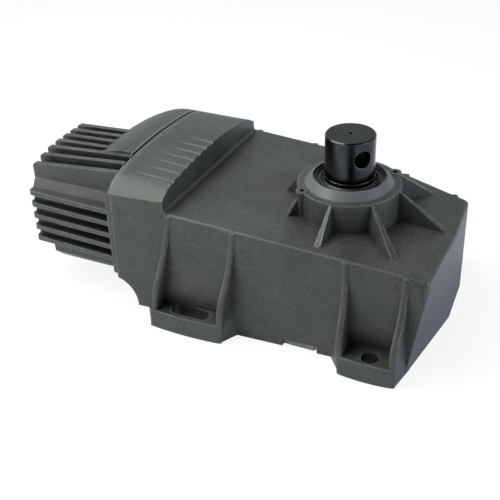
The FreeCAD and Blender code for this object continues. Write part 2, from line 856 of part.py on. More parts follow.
def bottom_cover():
    """The plate that closes the gearbox from below, with bearing bosses and two pry tabs."""
    plate = cover_prism(cover_ledge + cover_gap, 0.0, cover_thickness)
    radius = train_journal_radius + bush_wall + bush_boss_wall
    for axis in train_boss_centres():
        plate = plate.fuse(cylinder(radius, axis, UP, cover_boss_height))
    output_radius_outside = output_foot_radius + output_bush_wall + bush_boss_wall
    plate = plate.fuse(cylinder(output_radius_outside, Vector(), UP, output_boss_height))
    for side in (-1, 1):
        outer = wall_at(side, notch_x[1], 0) - tab_setback
        tab_x = (notch_x[0] + 4.0, notch_x[1] - 3.0)
        plate = plate.fuse(block(tab_x, (0.5 * side * outer, side * outer), (0.0, tab_thickness)))
    hole = train_journal_radius + bush_wall + seat_clearance
    for axis in train_boss_centres():
        plate = plate.cut(cylinder(hole, axis + UP * bush_floor, UP, cover_boss_height))
    output_hole = output_foot_radius + output_bush_wall + seat_clearance
    plate = plate.cut(cylinder(output_hole, UP * bush_floor, UP, output_boss_height))
    for x, y in cover_screw_places():
        plate = plate.cut(screw_hole(x, y))
    return plate.removeSplitter()


def screw_hole(x, y):
    """A countersunk hole in the bottom cover."""
    clearance = running_clearance
    sink = cover_screw_head_radius - cover_screw_radius
    hole = cylinder(cover_screw_radius + clearance, Vector(x, y, -1), UP, cover_thickness + 2.0)
    return hole.fuse(
        Part.makeCone(
            cover_screw_head_radius + clearance, cover_screw_radius + clearance, sink, Vector(x, y, 0)
        )
    )


def bottom_cover_gasket():
    """The flat gasket between the cover and the casting's ledge, with a ring at each screw."""
    low, high = cover_thickness, cover_thickness + gasket_thickness
    sheet = cover_prism(cover_ledge + cover_gap, low, high)
    ring = sheet.cut(cover_prism(wall_thickness, low - 1.0, high + 1.0))
    for x, y in cover_screw_places():
        disc = cylinder(cover_post_radius, Vector(x, y, low), UP, gasket_thickness)
        ring = ring.fuse(disc.common(sheet))
    for x, y in cover_screw_places():
        hole = cover_screw_radius + running_clearance
        ring = ring.cut(cylinder(hole, Vector(x, y, low - 1.0), UP, gasket_thickness + 2.0))
    return ring.removeSplitter()


def bottom_cover_screws():
    """Countersunk screws, one at each post, with a hexagon socket."""
    screws = []
    sink = cover_screw_head_radius - cover_screw_radius
    for x, y in cover_screw_places():
        shank = cylinder(cover_screw_radius, Vector(x, y, 0.2), UP, cover_screw_length - 1.0)
        head = Part.makeCone(
            cover_screw_head_radius - 0.2, cover_screw_radius, sink - 0.2, Vector(x, y, 0.2)
        )
        socket = hexagon(Vector(x, y, -1.0), UP, ALONG, cover_screw_radius * 0.7, 3.0)
        screws.append(shank.fuse(head).cut(socket))
    return Part.makeCompound(screws)


def hexagon(start, direction, across, radius, length):
    """A hexagonal prism, given by its corner radius."""
    beside = direction.cross(across)
    points = []
    for index in range(6):
        angle = math.pi * index / 3
        points.append(start + (across * math.cos(angle) + beside * math.sin(angle)) * radius)
    return prism(points, direction * length)


def flange_form(left_x, right_x):
    """A slice of the casting's outline at the seam, with the round lobe under it."""
    tall = top_at(motor_face_x) + hump_crest_rise + 10.0
    form = frustum(base_outline, 0.0, tall, base_draft)
    form = form.common(crown_prism(motor_face_x - 1.0, seam_x + 5.0))
    form = form.common(block((left_x, right_x), (-200, 200), (scoop_floor + scoop_radius, 300)))
    start = Vector(left_x, motor_axis_y, motor_axis_z)
    return form.fuse(cylinder(lobe_radius, start, ALONG, right_x - left_x))


def fin_profile(place, reach, rise, valley):
    """One fin as a flat plate along the motor, rising to the flange, with a rounded tip."""
    near, far = motor_face_x + 0.5, motor_end_x
    far_reach = reach
    near_reach = reach + rise
    tip = fin_round * (1 - math.sqrt(0.5))

    def point(x, height):
        return Vector(x, -fin_thickness / 2, height)

    edges = [
        Part.LineSegment(point(near, valley), point(near, near_reach)).toShape(),
        Part.LineSegment(point(near, near_reach), point(far + fin_round, far_reach)).toShape(),
        Part.Arc(
            point(far + fin_round, far_reach),
            point(far + tip, far_reach - tip),
            point(far, far_reach - fin_round),
        ).toShape(),
        Part.LineSegment(point(far, far_reach - fin_round), point(far, valley)).toShape(),
        Part.LineSegment(point(far, valley), point(near, valley)).toShape(),
    ]
    fin = Part.Face(Part.Wire(edges)).extrude(Vector(0, fin_thickness, 0))
    fin.translate(Vector(0, place, 0))
    return fin


def motor_fins():
    """Upright fins on top and flat fins on both sides, about the motor's axis."""
    fins = []
    for index, (reach, rise) in enumerate(zip(top_fin_reach, top_fin_rise)):
        place = (index - (top_fin_count - 1) / 2) * fin_pitch
        fins.append(fin_profile(place, reach, rise, motor_core_radius * 0.4))
    for side in (-90, 90):
        for index in range(side_fin_count):
            place = (index - (side_fin_count - 1) / 2) * fin_pitch
            fin = fin_profile(place, side_fin_reach, side_fin_rise, motor_core_radius * 0.7)
            fin.rotate(Vector(), ALONG, side)
            fins.append(fin)
    for fin in fins:
        fin.translate(motor_axis)
    return fins


def motor_housing():
    """The motor casting: closed tube, fins, corner panels, bottom block, flange and fairing."""
    axis_start = motor_axis + ALONG * motor_end_x
    length = flange_back_x - motor_end_x
    body = cylinder(motor_core_radius, axis_start, ALONG, length)
    far, near = motor_end_x, motor_face_x + 0.5
    side_valley = motor_core_radius * 0.8

    def at(y, z):
        return motor_axis + Vector(far, y, z)

    shoulders = [
        at(-panel_top_half, valley_height),
        at(-side_fin_reach + 4.0, panel_side_height),
        at(-side_valley, panel_side_height - fin_pitch),
        at(side_valley, panel_side_height - fin_pitch),
        at(side_fin_reach - 4.0, panel_side_height),
        at(panel_top_half, valley_height),
    ]
    body = body.fuse(prism(shoulders, Vector(near - far, 0, 0)))
    low = -block_depth
    wall_low = -side_fin_count / 2 * fin_pitch + 2.0
    sides = [
        at(-side_wall_half, panel_side_height - fin_thickness),
        at(-side_wall_half, wall_low),
        at(side_wall_half, wall_low),
        at(side_wall_half, panel_side_height - fin_thickness),
    ]
    body = body.fuse(prism(sides, Vector(near - far, 0, 0)))
    bottom = [
        at(-block_half_width, wall_low),
        at(-block_half_width, low + block_chamfer),
        at(-block_half_width + block_chamfer, low),
        at(block_half_width - block_chamfer, low),
        at(block_half_width, low + block_chamfer),
        at(block_half_width, wall_low),
    ]
    lower = prism(bottom, Vector(near - far - block_setback, 0, 0))
    lower.translate(Vector(block_setback, 0, 0))
    body = body.fuse(lower)
    for fin in motor_fins():
        body = body.fuse(fin)
    body = body.fuse(hood())
    body = body.fuse(chamfered_flange())
    bore_start = motor_axis + ALONG * motor_inner_end_x
    body = body.cut(cylinder(motor_bore_radius, bore_start, ALONG, length))
    hub = rear_bearing_radius + bearing_hub_wall
    body = body.fuse(tube(hub, rear_bearing_radius + seat_clearance, bore_start, ALONG, rear_bearing_width))
    for place in tie_places():
        start = place - ALONG
        body = body.cut(cylinder(tie_screw_radius + 0.3, start, ALONG, seam_x - start.x))
        room = tie_head_radius + tie_head_gap / 2
        body = body.cut(cylinder(room, place, -ALONG, place.x - motor_end_x + 1.0))
    return body.removeSplitter()


def chamfered_flange():
    """The motor's flange, with its upper edge broken on the motor's side."""
    flange = flange_form(motor_face_x, flange_back_x)
    edges = []
    for edge in flange.Edges:
        box = edge.BoundBox
        if box.XMax < motor_face_x + 0.01 and box.ZMin > top_at(step_x) + hump_edge_rise - 0.5:
            edges.append(edge)
    return flange.makeChamfer(flange_chamfer, edges)


def hood():
    """The rounded slope from the motor's valleys up to the hump, behind the front fins."""
    start = motor_face_x - hood_flat
    near = motor_face_x + 0.5
    axis_z = crown_at(start) + hump_crest_rise - hood_radius
    section = Part.Face(crown_wire(start, axis_z))
    round_part = section.revolve(Vector(start, 0, axis_z), ACROSS, -90)
    flat_part = crown_prism(start, near)
    far = start - hood_radius
    back_y = back_half_width - 9.0
    inner_edge = motor_axis_y + panel_top_half
    plan = prism(
        [
            Vector(near, hood_front_y, 0),
            Vector(near, back_y, 0),
            Vector(far, inner_edge, 0),
            Vector(far, hood_front_y, 0),
        ],
        Vector(0, 0, 200),
    )
    under = motor_axis_z + panel_side_height
    keep = plan.common(block((far, near), (-200, 200), (under, 200)))
    return round_part.fuse(flat_part).common(keep)


def motor_flange_gasket():
    """The gasket between the motor's flange and the gearbox."""
    form = flange_form(flange_back_x, seam_x)
    hole_start = motor_axis + ALONG * (flange_back_x - 1.0)
    form = form.cut(cylinder(motor_bore_radius, hole_start, ALONG, 3.0))
    for place in tie_places():
        hole = tie_screw_radius + 0.3
        form = form.cut(cylinder(hole, Vector(flange_back_x - 1.0, place.y, place.z), ALONG, 3.0))
    return form.removeSplitter()


def tie_places():
    """Where the tie screws' heads bear: in the motor's end face, and on the bottom block's end."""
    upper = (motor_end_x + tie_head_height, tie_upper_circle, math.radians(tie_upper_deg))
    lower = (motor_end_x + block_setback, tie_lower_circle, math.radians(tie_lower_deg))
    places = []
    for x, radius, angle in (upper, lower):
        for side in (-1, 1):
            across = side * radius * math.cos(angle)
            places.append(motor_axis + Vector(x, across, radius * math.sin(angle)))
    return places


def motor_tie_screws():
    """Long socket-head screws that hold the motor to the gearbox's end wall."""
    screws = []
    for place in tie_places():
        start = place - ALONG * tie_head_height
        head = cylinder(tie_head_radius, start, ALONG, tie_head_height)
        socket = hexagon(start - ALONG, ALONG, ACROSS, tie_screw_radius * 0.9, 3.5)
        shank = cylinder(tie_screw_radius, place, ALONG, seam_x + tie_grip - place.x)
        screws.append(head.cut(socket).fuse(shank))
    return Part.makeCompound(screws)


def motor_bearing_plate():
    """The plate in the end wall that carries the rotor's front bearing and its seal."""
    start = motor_axis + ALONG * seam_x
    body = cylinder(plate_radius, start, ALONG, plate_thickness)
    hub_start = motor_axis + ALONG * front_bearing_x
    hub_length = hub_end_x - front_bearing_x
    body = body.fuse(cylinder(plate_hub_radius, hub_start, ALONG, hub_length))
    pocket = front_bearing_radius + seat_clearance
    body = body.cut(cylinder(pocket, hub_start - ALONG, ALONG, front_bearing_width + 1.0))
    body = body.cut(cylinder(rotor_shaft_radius + 1.5, hub_start, ALONG, hub_length + 1.0))
    seal_start = motor_axis + ALONG * seal_pocket_x
    body = body.cut(cylinder(motor_seal_radius + seat_clearance, seal_start, ALONG, motor_seal_width + 1.0))
    for place in plate_screw_places():
        point = Vector(seam_x - 1.0, place.y, place.z)
        body = body.cut(cylinder(plate_screw_radius + 0.2, point, ALONG, plate_thickness + 2.0))
    return body.removeSplitter()


def bearing_plate_screws():
    """Screws that hold the bearing plate, with heads inside the motor's bore."""
    screws = []
    for place in plate_screw_places():
        start = Vector(seam_x - plate_screw_head_height, place.y, place.z)
        head = cylinder(plate_screw_head_radius, start, ALONG, plate_screw_head_height)
        socket = hexagon(start - ALONG, ALONG, ACROSS, plate_screw_radius * 0.8, 2.5)
        shank_start = Vector(seam_x, place.y, place.z)
        shank = cylinder(plate_screw_radius, shank_start, ALONG, plate_thickness + plate_screw_depth - 1.0)
        screws.append(head.cut(socket).fuse(shank))
    return Part.makeCompound(screws)


def lip_seal(outer, shaft, start, direction, width):
    """A shaft seal: stiff case with a V-shaped lip that leans on the shaft."""
    bore = shaft + running_clearance
    case = tube(outer, bore, start, direction, width)
    depth = width * 0.5
    step = (outer - bore) * 0.3
    pocket_start = start + direction * (width - depth)
    hollow = tube(outer - step, bore + step, pocket_start, direction, depth + 1.0)
    return case.cut(hollow)


def shielded_rings(centre, outer, inner, width):
    """Outer ring with its shields, and inner ring, of a small sealed ball bearing on X."""
    race = (outer - inner) * 0.28
    inner_ring = tube(inner + race, inner + seat_clearance, centre, ALONG, width)
    shell = tube(outer, inner + race + running_clearance * 2, centre, ALONG, width)
    recess = tube(outer - race, inner, centre - ALONG, ALONG, 1.6)
    far_recess = recess.copy()
    far_recess.translate(ALONG * (width + 0.4))
    return shell.cut(recess).cut(far_recess), inner_ring


def stator_core():
    """The stack of stator sheets, with a ring of slots round its bore."""
    start = motor_axis + ALONG * stator_rear_x
    core = tube(motor_bore_radius - seat_clearance, stator_inner_radius, start, ALONG, stator_length)
    half = stator_slot_width / 2
    depth = (stator_inner_radius - 2.0, stator_inner_radius + winding_depth)
    for index in range(stator_slot_count):
        slot = block((0, stator_length + 2.0), (-half, half), depth)
        slot.rotate(Vector(), ALONG, 360.0 * index / stator_slot_count)
        slot.translate(start - ALONG)
        core = core.cut(slot)
    return core


def stator_windings():
    """The coil ends, as a rounded ring at each end of the stator."""
    rings = []
    inner = rear_bearing_radius + bearing_hub_wall + 1.0
    for start_x in (stator_rear_x - winding_length, stator_front_x):
        start = motor_axis + ALONG * start_x
        ring = tube(inner + winding_depth, inner, start, ALONG, winding_length)
        ring = ring.makeFillet(2.5, ring.Edges[:1])
        rings.append(ring)
    return Part.makeCompound(rings)


def rotor_shaft():
    """The rotor's shaft: rear journal, rotor seat and a thinner end for the worm."""
    rear = motor_inner_end_x + 0.5
    worm_left = wheel_x - worm_length / 2
    end = wheel_x + worm_length / 2 + 1.0
    body = cylinder(rotor_rear_radius, motor_axis + ALONG * rear, ALONG, rear_bearing_width + 2.0)
    main_start = rear + rear_bearing_width
    body = body.fuse(
        cylinder(rotor_shaft_radius, motor_axis + ALONG * main_start, ALONG, worm_left - main_start)
    )
    body = body.fuse(
        cylinder(worm_bore_radius, motor_axis + ALONG * worm_left, ALONG, end - worm_left)
    )
    return body.removeSplitter()


def rotor_core():
    """The rotor's sheet stack."""
    radius = stator_inner_radius - air_gap
    start = motor_axis + ALONG * stator_rear_x
    return tube(radius, rotor_shaft_radius + seat_clearance, start, ALONG, stator_length)


def rotor_end_rings():
    """The cast short-circuit rings on both ends of the rotor."""
    radius = stator_inner_radius - air_gap
    rings = []
    for start_x in (stator_rear_x - end_ring_length, stator_front_x):
        start = motor_axis + ALONG * start_x
        rings.append(tube(radius - 1.0, rotor_shaft_radius + 3.0, start, ALONG, end_ring_length))
    return Part.makeCompound(rings)


def worm():
    """The single-start worm, a trapezoid thread on a sleeve, in mesh with the wheel at rest."""
    lead = math.pi * worm_module
    tip = worm_pitch_radius + worm_module * 0.95
    root = worm_pitch_radius - worm_module * 1.25
    half = (lead / 2 - backlash / 2) / 2

    def half_at(radius):
        return half - (radius - worm_pitch_radius) * math.tan(pressure_angle)

    inside = root - 0.4
    turns = math.floor((worm_length - 2 * half_at(inside)) / lead)
    profile = [
        Vector(inside, 0, -half_at(inside)),
        Vector(tip, 0, -half_at(tip)),
        Vector(tip, 0, half_at(tip)),
        Vector(inside, 0, half_at(inside)),
    ]
    spine = Part.makeHelix(lead, turns * lead, worm_pitch_radius)
    section = Part.makePolygon(profile + profile[:1])
    thread = Part.Wire(spine).makePipeShell([section], True, True)
    thread.translate(Vector(0, 0, -turns * lead / 2))
    thread.rotate(Vector(), UP, 90 - 180 * turns)
    sleeve_start = Vector(0, 0, -worm_length / 2)
    body = cylinder(root, sleeve_start, UP, worm_length).fuse(thread)
    body = body.cut(cylinder(worm_bore_radius + seat_clearance, sleeve_start, UP, worm_length))
    body.rotate(Vector(), ACROSS, 90)
    body.translate(motor_axis + ALONG * wheel_x)
    return body


def tooth_outline(module, teeth, shift, phase, addendum, dedendum):
    """Corner points of a spur gear with involute flanks, one tooth centred on the phase angle."""
    pitch = module * teeth / 2
    base = pitch * math.cos(pressure_angle)
    tip = pitch + module * (addendum + shift)
    root = pitch - module * (dedendum - shift)

    def involute(angle):
        return math.tan(angle) - angle

    half_pitch_angle = (math.pi / 2 + 2 * shift * math.tan(pressure_angle)) / teeth
    half_pitch_angle -= backlash / 2 / (2 * pitch)

    def half_angle(radius):
        if radius <= base:
            return half_pitch_angle + involute(pressure_angle)
        return half_pitch_angle + involute(pressure_angle) - involute(math.acos(base / radius))

    radii = [root]
    if root < base:
        radii.append(base)
    radii.append((max(root, base) + tip) / 2)
    radii.append(tip)
    points = []
    for tooth in range(teeth):
        centre = phase + 2 * math.pi * tooth / teeth
        for radius in radii:
            angle = centre - half_angle(radius)
            points.append(Vector(radius * math.cos(angle), radius * math.sin(angle), 0))
        for radius in reversed(radii):
            angle = centre + half_angle(radius)
            points.append(Vector(radius * math.cos(angle), radius * math.sin(angle), 0))
    return points


def spur(module, teeth, shift, phase, place, low, width, addendum=1.0, dedendum=1.25):
    """A toothed disc on an upright axis."""
    points = tooth_outline(module, teeth, shift, phase, addendum, dedendum)
    disc = prism(points, Vector(0, 0, width))
    disc.translate(Vector(place.x, place.y, low))
    return disc


def mesh_phases(place, partner, partner_teeth):
    """Phases for a pinion tooth at the partner's gap, on the line between the two axes."""
    heading = math.atan2(partner.y - place.y, partner.x - place.x)
    return heading, heading + math.pi - math.pi / partner_teeth


wheel_place = Vector(wheel_x, wheel_y, 0)
intermediate_place = Vector(intermediate_x, intermediate_y, 0)
output_place = Vector(0, 0, 0)
first_pinion_phase, first_gear_phase = mesh_phases(wheel_place, intermediate_place, first_gear_teeth)
second_pinion_phase, second_gear_phase = mesh_phases(intermediate_place, output_place, second_gear_teeth)


def keyway(place, radius, width, height, low, length, clearance):
    """The block that a key fills, half in the shaft and half in the hub, on the -X side."""
    half = width / 2 + clearance
    outer = radius + height / 2 + clearance
    inner = radius - height / 2 - clearance
    return block(
        (place.x - outer, place.x - inner),
        (place.y - half, place.y + half),
        (low - clearance, low + length + clearance),
    )


wheel_low = motor_axis_z - wheel_width / 2
wheel_hub_low = motor_axis_z - wheel_hub_width / 2


def key_room(place, radius, width, height, low, length):
    """A key's place, size and run, kept inside the hub that it drives."""
    return place, radius, width, height, low + key_margin, length - 2 * key_margin


wheel_key_room = key_room(
    wheel_place, train_shaft_radius, key_width, key_height, wheel_hub_low, wheel_hub_width
)
first_key_room = key_room(
    intermediate_place, train_shaft_radius, key_width, key_height, first_gear_bottom, first_gear_width
)
output_key_room = key_room(
    output_place, output_radius, output_key_width, output_key_height, second_gear_bottom, second_gear_width
)


def worm_wheel():
    """The bronze worm wheel, its teeth twisted to the worm's lead, on a plain hub."""
    pitch = worm_module * wheel_teeth / 2
    lead_slope = worm_module / 2 / worm_pitch_radius
    twist = lead_slope * wheel_width / 2 / pitch
    phase = -math.pi / 2 + math.pi / wheel_teeth
    wires = []
    for turn, height in ((-twist, 0.0), (twist, wheel_width)):
        points = tooth_outline(worm_module, wheel_teeth, 0.0, phase + turn, 0.9, 1.3)
        lifted = [point + Vector(0, 0, height) for point in points]
        wires.append(Part.makePolygon(lifted + lifted[:1]))
    body = Part.makeLoft(wires, True, True)
    body.translate(Vector(wheel_x, wheel_y, wheel_low))
    body = body.fuse(cylinder(wheel_hub_radius, wheel_place + UP * wheel_hub_low, UP, wheel_hub_width))
    bore = train_shaft_radius + seat_clearance
    body = body.cut(cylinder(bore, wheel_place + UP * (wheel_hub_low - 1.0), UP, wheel_hub_width + 2.0))
    return body.cut(keyway(*wheel_key_room, seat_clearance))


def train_shaft(place, pinion, lower_shoulder):
    """A gear shaft with its pinion cut in one piece and a journal at each end."""
    bottom = bush_floor + 0.3
    top = upper_bush_bottom(place.x) + bush_length - 0.3
    upper_shoulder = upper_bush_bottom(place.x) - 0.5
    body = cylinder(train_journal_radius, place + UP * bottom, UP, top - bottom)
    main = cylinder(train_shaft_radius, place + UP * lower_shoulder, UP, upper_shoulder - lower_shoulder)
    return body.fuse(main).fuse(pinion)


def wheel_pinion_shaft():
    """The worm wheel's upright shaft, with the first pinion."""
    low = first_gear_bottom - pinion_overhang
    width = first_gear_width + 2 * pinion_overhang
    pinion = spur(
        first_module, first_pinion_teeth, pinion_shift, first_pinion_phase, wheel_place, low, width, 0.9
    )
    body = train_shaft(wheel_place, pinion, low + width)
    return body.cut(keyway(*wheel_key_room, seat_clearance))


def intermediate_pinion_shaft():
    """The intermediate upright shaft, with the second pinion."""
    low = second_gear_bottom - pinion_overhang
    width = second_gear_width + 2 * pinion_overhang
    pinion = spur(
        second_module, second_pinion_teeth, pinion_shift, second_pinion_phase,
        intermediate_place, low, width, 0.9,
    )
    body = train_shaft(intermediate_place, pinion, cover_boss_height + 0.5)
    return body.cut(keyway(*first_key_room, seat_clearance))


def webbed_gear(module, teeth, phase, place, low, width, bore, hub, room):
    """A large gear with a recessed web on both faces and a keyed bore."""
    body = spur(module, teeth, -pinion_shift, phase, place, low, width, 1.0, 1.25)
    rim = module * teeth / 2 - 1.7 * module - web_rim
    for start in (low - 1.0, low + width - web_recess):
        body = body.cut(tube(rim, hub, place + UP * start, UP, web_recess + 1.0))
    hole = bore + seat_clearance
    body = body.cut(cylinder(hole, place + UP * (low - 1.0), UP, width + 2.0))
    return body.cut(keyway(*room, seat_clearance))


def intermediate_gear():
    """The first reduction's large gear, on the intermediate shaft."""
    return webbed_gear(
        first_module, first_gear_teeth, first_gear_phase, intermediate_place, first_gear_bottom,
        first_gear_width, train_shaft_radius, wheel_hub_radius, first_key_room,
    )


def output_gear():
    """The last gear, on the output shaft."""
    return webbed_gear(
        second_module, second_gear_teeth, second_gear_phase, output_place, second_gear_bottom,
        second_gear_width, output_radius, output_radius + 9.0, output_key_room,
    )


def key(room):
    """A plain parallel key."""
    return keyway(*room, 0.0)


def output_shaft():
    """The output shaft: foot journal, gear shoulder, main diameter, cross-hole and centre hole."""
    bottom = bush_floor + 0.3
    shoulder = output_boss_height + 0.8
    body = cylinder(output_foot_radius, UP * bottom, UP, shoulder - bottom + 1.0)
    collar_low = second_gear_bottom - output_collar_height
    free_end = collar_top + 0.6
    end_radius = output_radius - output_end_relief
    body = body.fuse(cylinder(output_radius, UP * shoulder, UP, free_end - shoulder))
    end = cylinder(end_radius, UP * free_end, UP, output_top - output_chamfer - free_end)
    tip_radius = end_radius - output_chamfer
    end = end.fuse(Part.makeCone(end_radius, tip_radius, output_chamfer, UP * (output_top - output_chamfer)))
    end.rotate(Vector(), UP, cross_hole_deg - output_seam_deg)
    body = body.fuse(end)
    body = body.fuse(cylinder(output_collar_radius, UP * collar_low, UP, output_collar_height))
    angle = math.radians(cross_hole_deg)
    heading = Vector(math.cos(angle), math.sin(angle), 0)
    start = UP * (output_top - cross_hole_drop) - heading * (output_radius + 5.0)
    body = body.cut(cylinder(cross_hole_radius, start, heading, 2 * output_radius + 10.0))
    centre_start = UP * (output_top - centre_hole_depth)
    body = body.cut(cylinder(centre_hole_radius, centre_start, UP, centre_hole_depth + 1.0))
    return body.cut(keyway(*output_key_room, seat_clearance)).removeSplitter()


def output_spacer():
    """The sleeve between the output gear and the upper bearing's inner ring."""
    bore = output_radius + seat_clearance
    return tube(spacer_radius, bore, UP * second_gear_top, UP, bearing_bottom - second_gear_top)


def upper_bearing():
    """Outer ring, balls and inner ring of the output shaft's upper bearing."""
    low = UP * bearing_bottom
    middle = (upper_bearing_radius + output_radius) / 2
    centre = UP * (bearing_bottom + upper_bearing_width / 2)
    race = Part.makeTorus(middle, upper_bearing_ball_radius + running_clearance, centre, UP)
    outer = tube(upper_bearing_radius, upper_bearing_radius - bearing_ring_wall, low, UP, upper_bearing_width)
    bore = output_radius + seat_clearance
    inner = tube(output_radius + bearing_ring_wall, bore, low, UP, upper_bearing_width)
    balls = []
    for index in range(upper_bearing_ball_count):
        angle = 2 * math.pi * index / upper_bearing_ball_count
        place = centre + Vector(middle * math.cos(angle), middle * math.sin(angle), 0)
        balls.append(Part.makeSphere(upper_bearing_ball_radius, place))
    return outer.cut(race), Part.makeCompound(balls), inner.cut(race)


def upper_bearing_circlip():
    """The open retaining ring under the upper bearing."""
    outer = upper_bearing_radius + circlip_depth - running_clearance
    low = UP * (bearing_bottom - circlip_thickness)
    ring = tube(outer, outer - circlip_width, low, UP, circlip_thickness)
    gap = block((0, outer + 1.0), (-4.0, 4.0), (low.z - 1.0, low.z + circlip_thickness + 1.0))
    return ring.cut(gap)


def bush(place, low, journal, wall, length):
    """A plain bearing bush."""
    return tube(journal + wall, journal + running_clearance, place + UP * low, UP, length)


def cable_gland():
    """The cable inlet's body: hexagon flange outside, threaded stub through the wall, open bore."""
    outside = back_width_at(gland_x, gland_z) + gland_pad_rise
    start = Vector(gland_x, outside, gland_z)
    stub = cylinder(gland_radius, start, -ACROSS, wall_thickness + 3.0)
    flange = hexagon(start, ACROSS, ALONG, gland_flange_radius, gland_flange_width)
    neck = cylinder(gland_radius - 1.0, start, ACROSS, gland_flange_width + gland_nut_width - 2.0)
    body = stub.fuse(flange).fuse(neck)
    return body.cut(cylinder(gland_bore_radius, start - ACROSS * 30.0, ACROSS, 60.0)).removeSplitter()


def gland_nut():
    """The cap nut over the inlet's neck."""
    outside = back_width_at(gland_x, gland_z) + gland_pad_rise + gland_flange_width
    start = Vector(gland_x, outside, gland_z)
    body = hexagon(start, ACROSS, ALONG, gland_nut_radius, gland_nut_width)
    body = body.cut(cylinder(gland_radius - 1.0 + seat_clearance, start, ACROSS, gland_nut_width - 2.0))
    return body.cut(cylinder(gland_bore_radius, start, ACROSS, gland_nut_width + 1.0))


def build():
    """Every piece of the gate motor, by the name of its node."""
    front_outer, front_inner = shielded_rings(
        motor_axis + ALONG * front_bearing_x, front_bearing_radius, rotor_shaft_radius, front_bearing_width
    )
    rear_outer, rear_inner = shielded_rings(
        motor_axis + ALONG * motor_inner_end_x, rear_bearing_radius, rotor_rear_radius, rear_bearing_width
    )
    upper_outer, upper_balls, upper_inner = upper_bearing()
    seal_low = UP * (collar_top - seal_recess - seal_width)
    motor_seal_start = motor_axis + ALONG * seal_pocket_x
    return {
        "gearbox_housing": gearbox_housing(),
        "bottom_cover": bottom_cover(),
        "bottom_cover_gasket": bottom_cover_gasket(),
        "bottom_cover_screws": bottom_cover_screws(),
        "motor_housing": motor_housing(),
        "motor_flange_gasket": motor_flange_gasket(),
        "motor_tie_screws": motor_tie_screws(),
        "motor_bearing_plate": motor_bearing_plate(),
        "bearing_plate_screws": bearing_plate_screws(),
        "motor_shaft_seal": lip_seal(
            motor_seal_radius, rotor_shaft_radius, motor_seal_start, ALONG, motor_seal_width
        ),
        "stator_core": stator_core(),
        "stator_windings": stator_windings(),
        "front_bearing_outer_ring": front_outer,
        "front_bearing_inner_ring": front_inner,
        "rear_bearing_outer_ring": rear_outer,
        "rear_bearing_inner_ring": rear_inner,
        "rotor_shaft": rotor_shaft(),
        "rotor_core": rotor_core(),
        "rotor_end_rings": rotor_end_rings(),
        "worm": worm(),
        "worm_wheel": worm_wheel(),
        "wheel_pinion_shaft": wheel_pinion_shaft(),
        "wheel_key": key(wheel_key_room),
        "wheel_lower_bush": bush(wheel_place, bush_floor, train_journal_radius, bush_wall, bush_length),
        "wheel_upper_bush": bush(
            wheel_place, upper_bush_bottom(wheel_x), train_journal_radius, bush_wall, bush_length
        ),
        "intermediate_gear": intermediate_gear(),
        "intermediate_pinion_shaft": intermediate_pinion_shaft(),
        "intermediate_key": key(first_key_room),
        "intermediate_lower_bush": bush(
            intermediate_place, bush_floor, train_journal_radius, bush_wall, bush_length
        ),
        "intermediate_upper_bush": bush(
            intermediate_place, upper_bush_bottom(intermediate_x), train_journal_radius,
            bush_wall, bush_length,
        ),
        "output_gear": output_gear(),
        "output_shaft": output_shaft(),
        "output_key": key(output_key_room),
        "output_spacer": output_spacer(),
        "output_lower_bush": bush(
            output_place, bush_floor, output_foot_radius, output_bush_wall, output_boss_height - bush_floor
        ),
        "upper_bearing_outer_ring": upper_outer,
        "upper_bearing_balls": upper_balls,
        "upper_bearing_inner_ring": upper_inner,
        "upper_bearing_circlip": upper_bearing_circlip(),
        "output_shaft_seal": lip_seal(seal_radius, output_radius, seal_low, UP, seal_width),
        "cable_gland": cable_gland(),
        "gland_nut": gland_nut(),
    }


def main():
    """Write one file for each piece."""
    os.makedirs("parts", exist_ok=True)
    for name, shape in build().items():
        shape.exportStep("parts/" + name + ".step")


main()
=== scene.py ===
"""Looks, stage, light and camera for a gate motor with a cast gearbox and a finned motor.

Metres, in the part's own frame: +Z is up the output shaft, and the motor lies towards -X.
"""

import logging
import math
from dataclasses import dataclass
from enum import Enum
from typing import Any, Iterable, Protocol, Sequence, Union

import bmesh
import bpy
from mathutils import Matrix, Vector


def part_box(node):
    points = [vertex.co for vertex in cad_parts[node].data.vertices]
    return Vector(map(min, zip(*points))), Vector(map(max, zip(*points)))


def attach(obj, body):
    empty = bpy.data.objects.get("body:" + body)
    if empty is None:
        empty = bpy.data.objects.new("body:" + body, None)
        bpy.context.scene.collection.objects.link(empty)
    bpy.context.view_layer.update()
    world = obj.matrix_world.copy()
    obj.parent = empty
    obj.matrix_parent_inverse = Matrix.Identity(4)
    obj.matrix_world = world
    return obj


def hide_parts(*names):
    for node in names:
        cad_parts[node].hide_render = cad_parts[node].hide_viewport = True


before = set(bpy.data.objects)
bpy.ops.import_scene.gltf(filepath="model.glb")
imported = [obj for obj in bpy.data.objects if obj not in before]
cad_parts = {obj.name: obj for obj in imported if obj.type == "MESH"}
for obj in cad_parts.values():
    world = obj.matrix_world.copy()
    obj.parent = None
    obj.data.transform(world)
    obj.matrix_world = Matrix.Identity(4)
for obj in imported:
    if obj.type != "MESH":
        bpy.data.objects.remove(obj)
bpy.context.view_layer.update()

log = logging.getLogger("gate_motor")

MM = 0.001
PHOTO_SIDE = 500
BLACK = (0.0, 0.0, 0.0)
WHITE = (1.0, 1.0, 1.0)

Colour = tuple[float, float, float]
Span = tuple[float, float]
Number = Union[float, int, "Value"]


class Axis(Enum):
    """The line that a turned or layered finish follows."""

    X = 0
    Y = 1
    Z = 2


